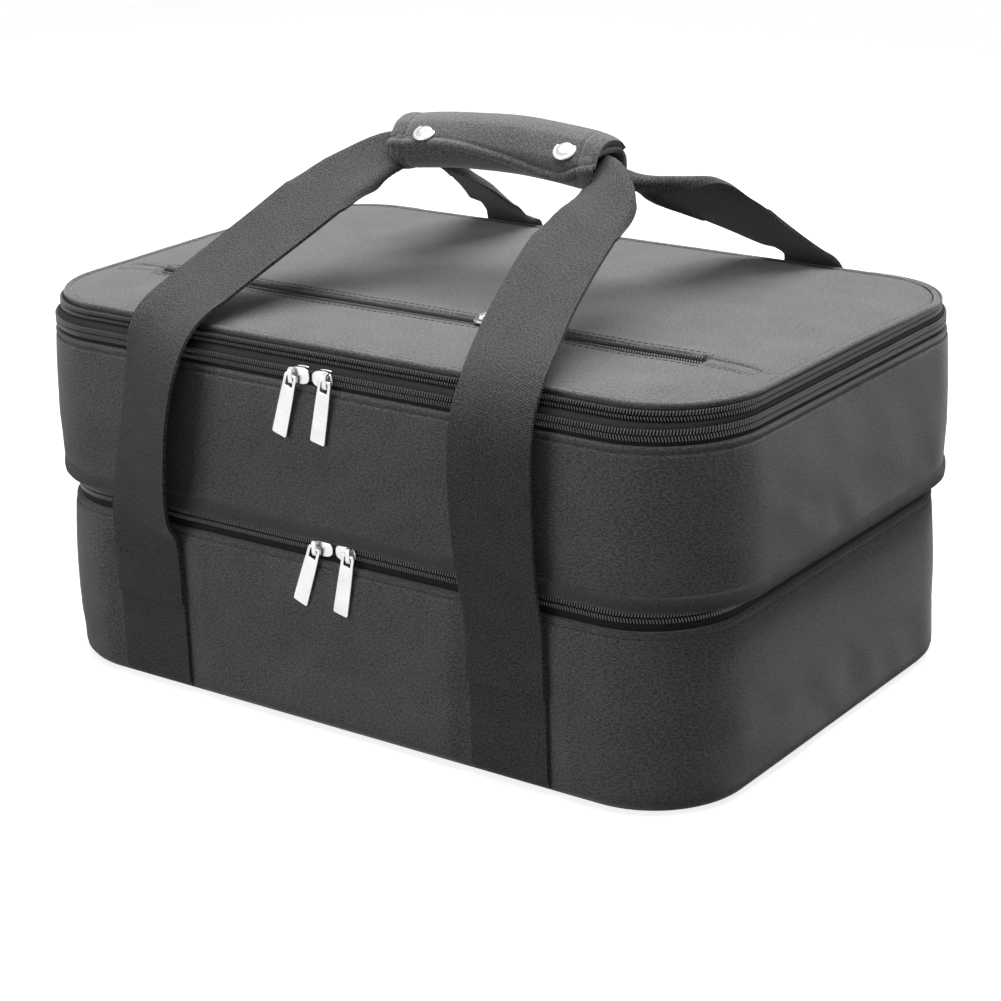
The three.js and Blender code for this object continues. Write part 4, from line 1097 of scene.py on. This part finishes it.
grip = {"low": -57 * mm, "high": 71 * mm, "middle": 7 * mm, "halfDepth": 16.4 * mm, "halfHeight": 11.4 * mm,
        "centreY": 6.1 * mm, "centreZ": 269.65 * mm, "crown": 5 * mm, "power": 2.6, "fabric": 3 * mm}
flapProfile = [(-10.6, -7.5), (-10.8, -3), (-11, 0.5), (-10.4, 3.8), (-8.2, 7.6), (-4.9, 12.2), (-3.0, 14.2),
               (0.2, 15.9), (3.5, 17.0), (10.2, 16.9), (16.5, 14.9), (20.2, 11.4)]
flapFront = [(-57, 2.5), (-40, 2.0), (-20, 1.5), (0, -1.0), (20, -4.0), (40, -7.0), (52, -7.0), (62, -2.0),
             (71, 4.0)]


def gripCrown(x):
    return grip["crown"] * (1 - ((x - grip["middle"]) / (64 * mm)) ** 2)


def makeWrap():
    x = np.linspace(grip["low"], grip["high"], 84)
    angle = np.radians(np.linspace(-90, 270, 97))
    power = 2 / grip["power"]
    y = -np.sign(np.cos(angle)) * np.abs(np.cos(angle)) ** power
    z = np.sign(np.sin(angle)) * np.abs(np.sin(angle)) ** power
    fromEnd = np.minimum(x - grip["low"], grip["high"] - x)
    swell = -0.9 * mm * bump(fromEnd, 9.3 * mm, 1.1 * mm) + 0.5 * mm * bump(fromEnd, 4 * mm, 3 * mm)
    swell = swell - 0.9 * mm * (1 - smoothStep(0, 1.6 * mm, fromEnd))
    wide, turn = np.meshgrid(x, angle)
    around = 14 * mm
    soft = swell + 0.35 * mm * grain(np.cos(turn) * around, wide, 18 * mm, 8.2, np.sin(turn) * around)
    placeY = grip["centreY"] + (grip["halfDepth"] + soft) * y[:, None]
    placeZ = grip["centreZ"] + gripCrown(wide) + (grip["halfHeight"] + soft) * z[:, None]
    wrap = gridSheet("gripWrap", np.dstack([wide, placeY, placeZ]), np.dstack([wide, turn * around]))
    thicken(wrap, grip["fabric"], -1)
    return settle(wrap, heather, "heather", "grip_wrap", body="lid_panel")


def flapSurface():
    # each column runs from the wavy front edge up and over to the back
    profile, _ = smoothPath([(0, y * mm, z * mm) for y, z in flapProfile], 0.5 * mm)
    profile = profile[:, 1:]
    run = np.concatenate([[0], np.cumsum(np.linalg.norm(np.diff(profile, axis=0), axis=1))])
    columns = np.linspace(grip["low"] - 0.5 * mm, grip["high"] + 0.3 * mm, 200)
    ends = smoothPath([(x * mm, z * mm, 0) for x, z in flapFront], 1 * mm)[0]
    frontZ = np.interp(columns, ends[:, 0], ends[:, 1])
    rising = profile[:, 1] < 12 * mm
    rising[np.argmax(~rising):] = False
    startRun = np.interp(frontZ, profile[rising, 1], run[rising])
    share = np.linspace(0, 1, 70)
    length = startRun[None, :] + (run[-1] - startRun[None, :]) * share[:, None]
    y = np.interp(length, run, profile[:, 0])
    z = np.interp(length, run, profile[:, 1])
    x = np.repeat(columns[None, :], len(share), axis=0)
    dip = 2.4 * mm * smoothStep(grip["high"] - 9 * mm, grip["high"] + 2 * mm, x)
    return x, y, z + grip["centreZ"] + gripCrown(x) - dip, length - startRun[None, :], run[-1] - length


def makeFlap():
    x, y, z, fromFront, fromBack = flapSurface()
    places = np.dstack([x, y, z])
    normal = np.cross(np.gradient(places, axis=1), np.gradient(places, axis=0))
    normal /= np.linalg.norm(normal, axis=2)[:, :, None]
    fromEnd = np.minimum(x - x.min(), x.max() - x)
    rounded = np.sqrt(np.clip(1 - (1 - fromFront / (2.3 * mm)) ** 2, 0, 1))
    band = 1 - smoothStep(4.2 * mm, 4.9 * mm, fromFront)
    ribs = 0.10 * mm * np.sin(x * 2 * math.pi / (2.6 * mm))
    lift = (1.15 * mm * rounded + ribs) * band + 0.6 * mm * bump(fromEnd, 2.6 * mm, 2.6 * mm)
    lift = lift - 0.5 * mm * bump(fromFront, 5.4 * mm, 0.6 * mm) - 0.75 * mm * bump(fromEnd, 9.2 * mm, 0.8 * mm)
    lift = lift + 0.5 * mm * grain(x, fromFront, 30 * mm, 3.7)
    lift = lift + 0.22 * mm * grain(x, fromFront, 7 * mm, 5.7) * bump(fromFront, 6 * mm, 3 * mm)
    flap = gridSheet("gripFlap", places + normal * lift[:, :, None], np.dstack([x, fromFront]))
    thicken(flap, 2.9 * mm, -1)
    bevelEdges(flap, 0.9 * mm, 3)
    return settle(flap, heather, "heather", "grip_flap", body="grip_flap")


wrapPiece = makeWrap()
flapPiece = makeFlap()
print("grip made")


# Snaps: domed caps with a rolled rim and a shallow dimple

snapCaps = {"left": ((-35, -7.4, 281.5), (0.02, -0.5, 0.87)), "right": ((53, -7.4, 280.9), (0.05, -0.62, 0.78))}
capProfile = [(0, -1.1), (6.0, -1.1), (6.2, -0.7), (6.5, -0.2), (6.45, 0.35), (6.1, 0.75), (5.5, 0.9),
              (5.0, 0.8), (4.6, 0.85), (3.8, 1.2), (2.8, 1.45), (1.6, 1.5), (0.8, 1.4), (0, 1.35)]


def lathe(name, profile, steps=56):
    angle, radius = np.meshgrid(np.linspace(0, 2 * math.pi, steps + 1), [r * mm for r, _ in profile])
    height = np.broadcast_to([[h * mm] for _, h in profile], angle.shape)
    places = np.dstack([radius * np.cos(angle), radius * np.sin(angle), height])
    return gridSheet(name, places, np.dstack([angle * 6 * mm, height]))


def makeSnaps():
    for side, (centre, facing) in snapCaps.items():
        turn = Vector(facing).to_track_quat("Z", "Y").to_matrix().to_4x4()
        cap = lathe(f"snapCap{side.title()}", capProfile)
        cap.data.transform(Matrix.Translation(Vector(centre) * mm) @ turn)
        settle(cap, nickel, "nickel", f"snap_cap_{side}", body="grip_flap")
        paintNode(f"snap_stud_{side}", nickel)


makeSnaps()


# Zip sliders. In a slider's own frame the zip runs along X, -Y leaves the coil and Z is across.

slider = {"length": 12.6 * mm, "height": 8.6 * mm, "plate": 1.6 * mm, "lift": 0.3 * mm, "archWidth": 2.6 * mm,
          "archSpan": 6.6 * mm, "archRise": 4.9 * mm, "archWire": 1.3 * mm}
pull = {"top": 7.8 * mm, "bottom": 9.2 * mm, "length": 34 * mm, "thickness": 1.6 * mm, "holeWidth": 4.4 * mm,
        "holeDepth": 5 * mm, "pivot": 3.6 * mm}


def sliderBody(name, twin, shift):
    half, tall = slider["length"] / 2, slider["height"] / 2
    plateY = -(slider["lift"] + slider["plate"] / 2)
    clearSelection()
    bpy.ops.mesh.primitive_cylinder_add(vertices=36, radius=1, depth=slider["plate"])
    plate = bpy.context.object
    plate.data.transform(Matrix.Rotation(math.radians(90), 4, "X"))
    for vertex in plate.data.vertices:  # the round blank is drawn out to a shield with round ends
        angle = math.atan2(vertex.co.z, vertex.co.x)
        vertex.co.x = math.copysign(abs(math.cos(angle)) ** 0.85, math.cos(angle)) * half
        vertex.co.z = math.copysign(abs(math.sin(angle)) ** 0.7, math.sin(angle)) * tall
    plate.data.transform(Matrix.Translation((0, plateY, 0)))
    bevelEdges(plate, 0.35 * mm, 2)
    pieces = [plate]
    if twin:
        back = copyOf(plate, "backPlate")
        back.data.transform(Matrix.Translation((0, 3.4 * mm, 0)))
        post = roundedBlock("post", (2.2 * mm, 3.4 * mm, 2.6 * mm), (half - 2.4 * mm, 0.7 * mm, 0), 0.3 * mm)
        pieces += [back, post]
    span, rise, wide = slider["archSpan"] / 2 / mm, slider["archRise"] / mm, slider["archWidth"]
    base = 0.4 - (slider["lift"] + slider["plate"]) / mm
    crown = slider["archWire"] / 2 / mm - rise
    outline = [(base, -span), (1.0 - rise, -span), (crown, 1.2 - span), (crown, 0), (crown, span - 1.2),
               (1.0 - rise, span), (base, span)]
    keys = [(shift, y, z, 1, 0, 0, wide / mm) for y, z in outline]
    arch = ribbon("arch", keys, width=wide, thickness=slider["archWire"], across=4, spacing=0.5 * mm)
    bevelEdges(arch, 0.3 * mm, 2)
    whole = join(name, pieces + [arch])
    smoothUpTo(45)
    return whole


def pullTab(name):
    # a stamped tab with an oblong eye, hanging from its crossbar at the origin
    top, bottom, bar, eye = pull["top"] / 2, pull["bottom"] / 2, pull["thickness"] / 2, pull["holeWidth"] / 2
    foot, low = bar - pull["length"], -bar - pull["holeDepth"]
    outline = [(foot, bottom - 0.9 * mm), (foot + 0.4 * mm, bottom - 0.25 * mm), (foot + 1.2 * mm, bottom),
               (-14 * mm, (top + bottom) / 2), (low - 2 * mm, top + 0.15 * mm), (low, top), (-bar, top),
               (bar, top - 0.6 * mm)]
    grid = np.array([[(x, z) for x in (-half, -eye, 0, eye, half)] for z, half in outline])
    x, z = grid[..., 0], grid[..., 1]
    tab = gridSheet(name, np.dstack([x, np.zeros_like(x), z]), grid)
    bpy.ops.object.mode_set(mode="EDIT")
    bpy.ops.mesh.select_all(action="DESELECT")
    bpy.ops.object.mode_set(mode="OBJECT")
    for face in tab.data.polygons:
        face.select = abs(face.center.x) < eye and low < face.center.z < -bar
    bpy.ops.object.mode_set(mode="EDIT")
    bpy.ops.mesh.delete(type="FACE")
    bpy.ops.object.mode_set(mode="OBJECT")
    thicken(tab, pull["thickness"], 0)
    bevelEdges(tab, 0.4 * mm, 3)
    smoothUpTo(45)
    return tab


def turned(degrees, axis):
    return Matrix.Rotation(math.radians(degrees), 4, axis)


# Where each slider is, its turn, how far along the zip its pull hangs, and the pull's lean
sliderPlaces = {
    "lid_left": ((-14.25, -139.6, 188.2), (0, "X"), -3.5, 17),
    "lid_right": ((0.25, -139.6, 188.2), (0, "X"), 3.5, 12),
    "deck_left": ((-6.25, -138.4, 99.5), (0, "X"), -3.5, 20),
    "deck_right": ((8.25, -138.4, 99.5), (0, "X"), 3.5, 12),
    "pocket": ((44, -66, 204.1), (-90, "X"), 0, 180),
    "expansion": ((-214.6, 40, 195.05), (-90, "Z"), 0, 0),
}


def makeSliders():
    for name, (place, turn, shift, lean) in sliderPlaces.items():
        matrix = Matrix.Translation(Vector(place) * mm) @ turned(*turn)
        label = "".join(word.title() for word in name.split("_"))
        body = sliderBody(f"slider{label}", name.startswith(("lid", "deck")), shift)
        body.data.transform(matrix)
        settle(body, nickel, "nickel", f"{name}_slider", body=f"{name}_slider")
        tab = pullTab(f"pull{label}")
        tab.data.transform(matrix @ Matrix.Translation((shift * mm, -pull["pivot"], 0)) @ turned(lean, "Y"))
        settle(tab, nickel, "nickel", f"{name}_pull", body=f"{name}_pull")


makeSliders()
print("hardware made")


# The pocket's own zip, lying in its channel

pocketZip = {"half": 171 * mm, "y": -66.9 * mm, "z": 203.6 * mm, "tooth": 2.6 * mm, "tilt": math.radians(-50)}


def makePocketZip():
    for direction, half in ((-1, "front"), (1, "back")):
        points = [(x, 0, 0) for x in np.linspace(-pocketZip["half"], pocketZip["half"], 60)]
        row = coilRow(f"pocketZip{half.title()}Coil", pocketZip["tooth"], direction, points)
        row.data.transform(Matrix.Translation((0, 0, direction * (coil["gap"] + pocketZip["tooth"] / 2))))
        row.data.transform(Matrix.Rotation(pocketZip["tilt"], 4, "X"))
        row.data.transform(Matrix.Translation((0, pocketZip["y"], pocketZip["z"])))
        settle(row, coilNylon, "zip", f"pocket_zip_{half}_half", body="lid_panel")


pocketPatch = {"inner": 167.5 * mm, "outer": 201 * mm, "front": -72.5 * mm, "back": -59.5 * mm,
               "fabric": 0.8 * mm}


def makePocketPatch(side, sign):
    # the cloth tab that closes one end of the zip
    inner, outer, front, back, fabric = pocketPatch.values()
    wide, deep = np.meshgrid(np.sort(np.linspace(inner, outer, 30) * sign), np.linspace(front, back, 22))
    fromEnds = np.minimum(np.abs(wide) - inner, outer - np.abs(wide))
    edge = np.minimum(fromEnds, np.minimum(deep - front, back - deep))
    proud = 0.75 * mm * smoothStep(0, 1.8 * mm, edge) - 0.2 * mm * bump(edge, 2.6 * mm, 0.7 * mm)
    high = lidHeight(wide, deep) - 0.35 * mm + proud
    patch = gridSheet(f"pocketPatch{side.title()}", np.dstack([wide, deep, high]), np.dstack([wide, deep]))
    thicken(patch, fabric, -1)
    settle(patch, heather, "heather", f"pocket_tab_{side}", body="lid_panel")


makePocketZip()
makePocketPatch("left", -1)
makePocketPatch("right", 1)
print("pocket made")


# Camera at the photograph's angle

view = {"azimuth": 36.27, "elevation": 19.33, "roll": -1.73, "distance": 1.38423,
        "target": (0.00473, 0.00017, 0.0918), "lens": 92.78, "shift": (-0.0054, -0.01424)}


def makeCamera():
    azimuth, elevation, roll = (math.radians(view[key]) for key in ("azimuth", "elevation", "roll"))
    flat = math.cos(elevation)
    back = Vector((math.sin(azimuth) * flat, -math.cos(azimuth) * flat, math.sin(elevation)))
    level = Vector((math.cos(azimuth), math.sin(azimuth), 0))
    upright = back.cross(level)
    right = level * math.cos(roll) + upright * math.sin(roll)
    up = upright * math.cos(roll) - level * math.sin(roll)
    clearSelection()
    bpy.ops.object.camera_add()
    camera = bpy.context.object
    camera.name = "camera"
    turn = Matrix((right, up, back)).transposed().to_4x4()
    camera.matrix_world = Matrix.Translation(Vector(view["target"]) + bagShift + back * view["distance"]) @ turn
    camera.data.sensor_width = 36
    camera.data.lens = view["lens"]
    camera.data.shift_x, camera.data.shift_y = view["shift"]
    camera.data.clip_end = 50
    bpy.context.scene.camera = camera


makeCamera()


# Floor, lamps and the pale surroundings

studio = {"floorSize": 3.6, "floorDiffuse": 0.06, "floorSeen": 0.55, "floorGlow": 0.82, "worldLight": 0.12}
lamps = {"overhead": {"place": (0, 0.3, 1.6), "size": 1.5, "power": 36},
         "rightFill": {"place": (1.6, 0.9, 0.6), "size": 1.2, "power": 2.8},
         "leftFill": {"place": (-0.9, -1.75, 0.6), "size": 1.2, "power": 9.4}}


def seenRays(tree):
    # 1 for a ray from the camera, also by way of a mirror or glass
    path = addNode(tree, "ShaderNodeLightPath")
    seen = sums(tree, "MAXIMUM", path.outputs["Is Camera Ray"], path.outputs["Is Glossy Ray"])
    return sums(tree, "MAXIMUM", seen, path.outputs["Is Transmission Ray"])


def makeStudio():
    clearSelection()
    bpy.ops.mesh.primitive_plane_add(size=studio["floorSize"])
    floor = bpy.context.object
    floor.name = "floor"
    material = bpy.data.materials.new("paleFloor")
    material.use_nodes = True
    tree = material.node_tree
    tree.nodes.clear()
    dull = addNode(tree, "ShaderNodeBsdfDiffuse", Color=(studio["floorDiffuse"],) * 3 + (1,))
    pale = addNode(tree, "ShaderNodeBsdfDiffuse", Color=(studio["floorSeen"],) * 3 + (1,))
    glow = addNode(tree, "ShaderNodeEmission", Color=(1, 1, 1, 1), Strength=studio["floorGlow"])
    both = addNode(tree, "ShaderNodeAddShader", i0=pale.outputs[0], i1=glow.outputs[0])
    choice = addNode(tree, "ShaderNodeMixShader", i0=seenRays(tree), i1=dull.outputs[0], i2=both.outputs[0])
    addNode(tree, "ShaderNodeOutputMaterial", Surface=choice.outputs[0])
    floor.data.materials.append(material)
    for name, values in lamps.items():
        clearSelection()
        bpy.ops.object.light_add(type="AREA", location=values["place"])
        lamp = bpy.context.object
        lamp.name = name
        lamp.data.size = values["size"]
        lamp.data.energy = values["power"]
        aim = Vector((0, 0, 0.1)) - Vector(values["place"])
        lamp.rotation_euler = aim.to_track_quat("-Z", "Y").to_euler()
    world = bpy.data.worlds.new("studio")
    bpy.context.scene.world = world
    world.use_nodes = True
    tree = world.node_tree
    background = tree.nodes["Background"]
    strength = sums(tree, "MULTIPLY_ADD", seenRays(tree), 1 - studio["worldLight"], studio["worldLight"])
    background.inputs["Color"].default_value = (1, 1, 1, 1)
    tree.links.new(strength, background.inputs["Strength"])


makeStudio()
bpy.context.scene.view_settings.view_transform = "Standard"
print("studio made")
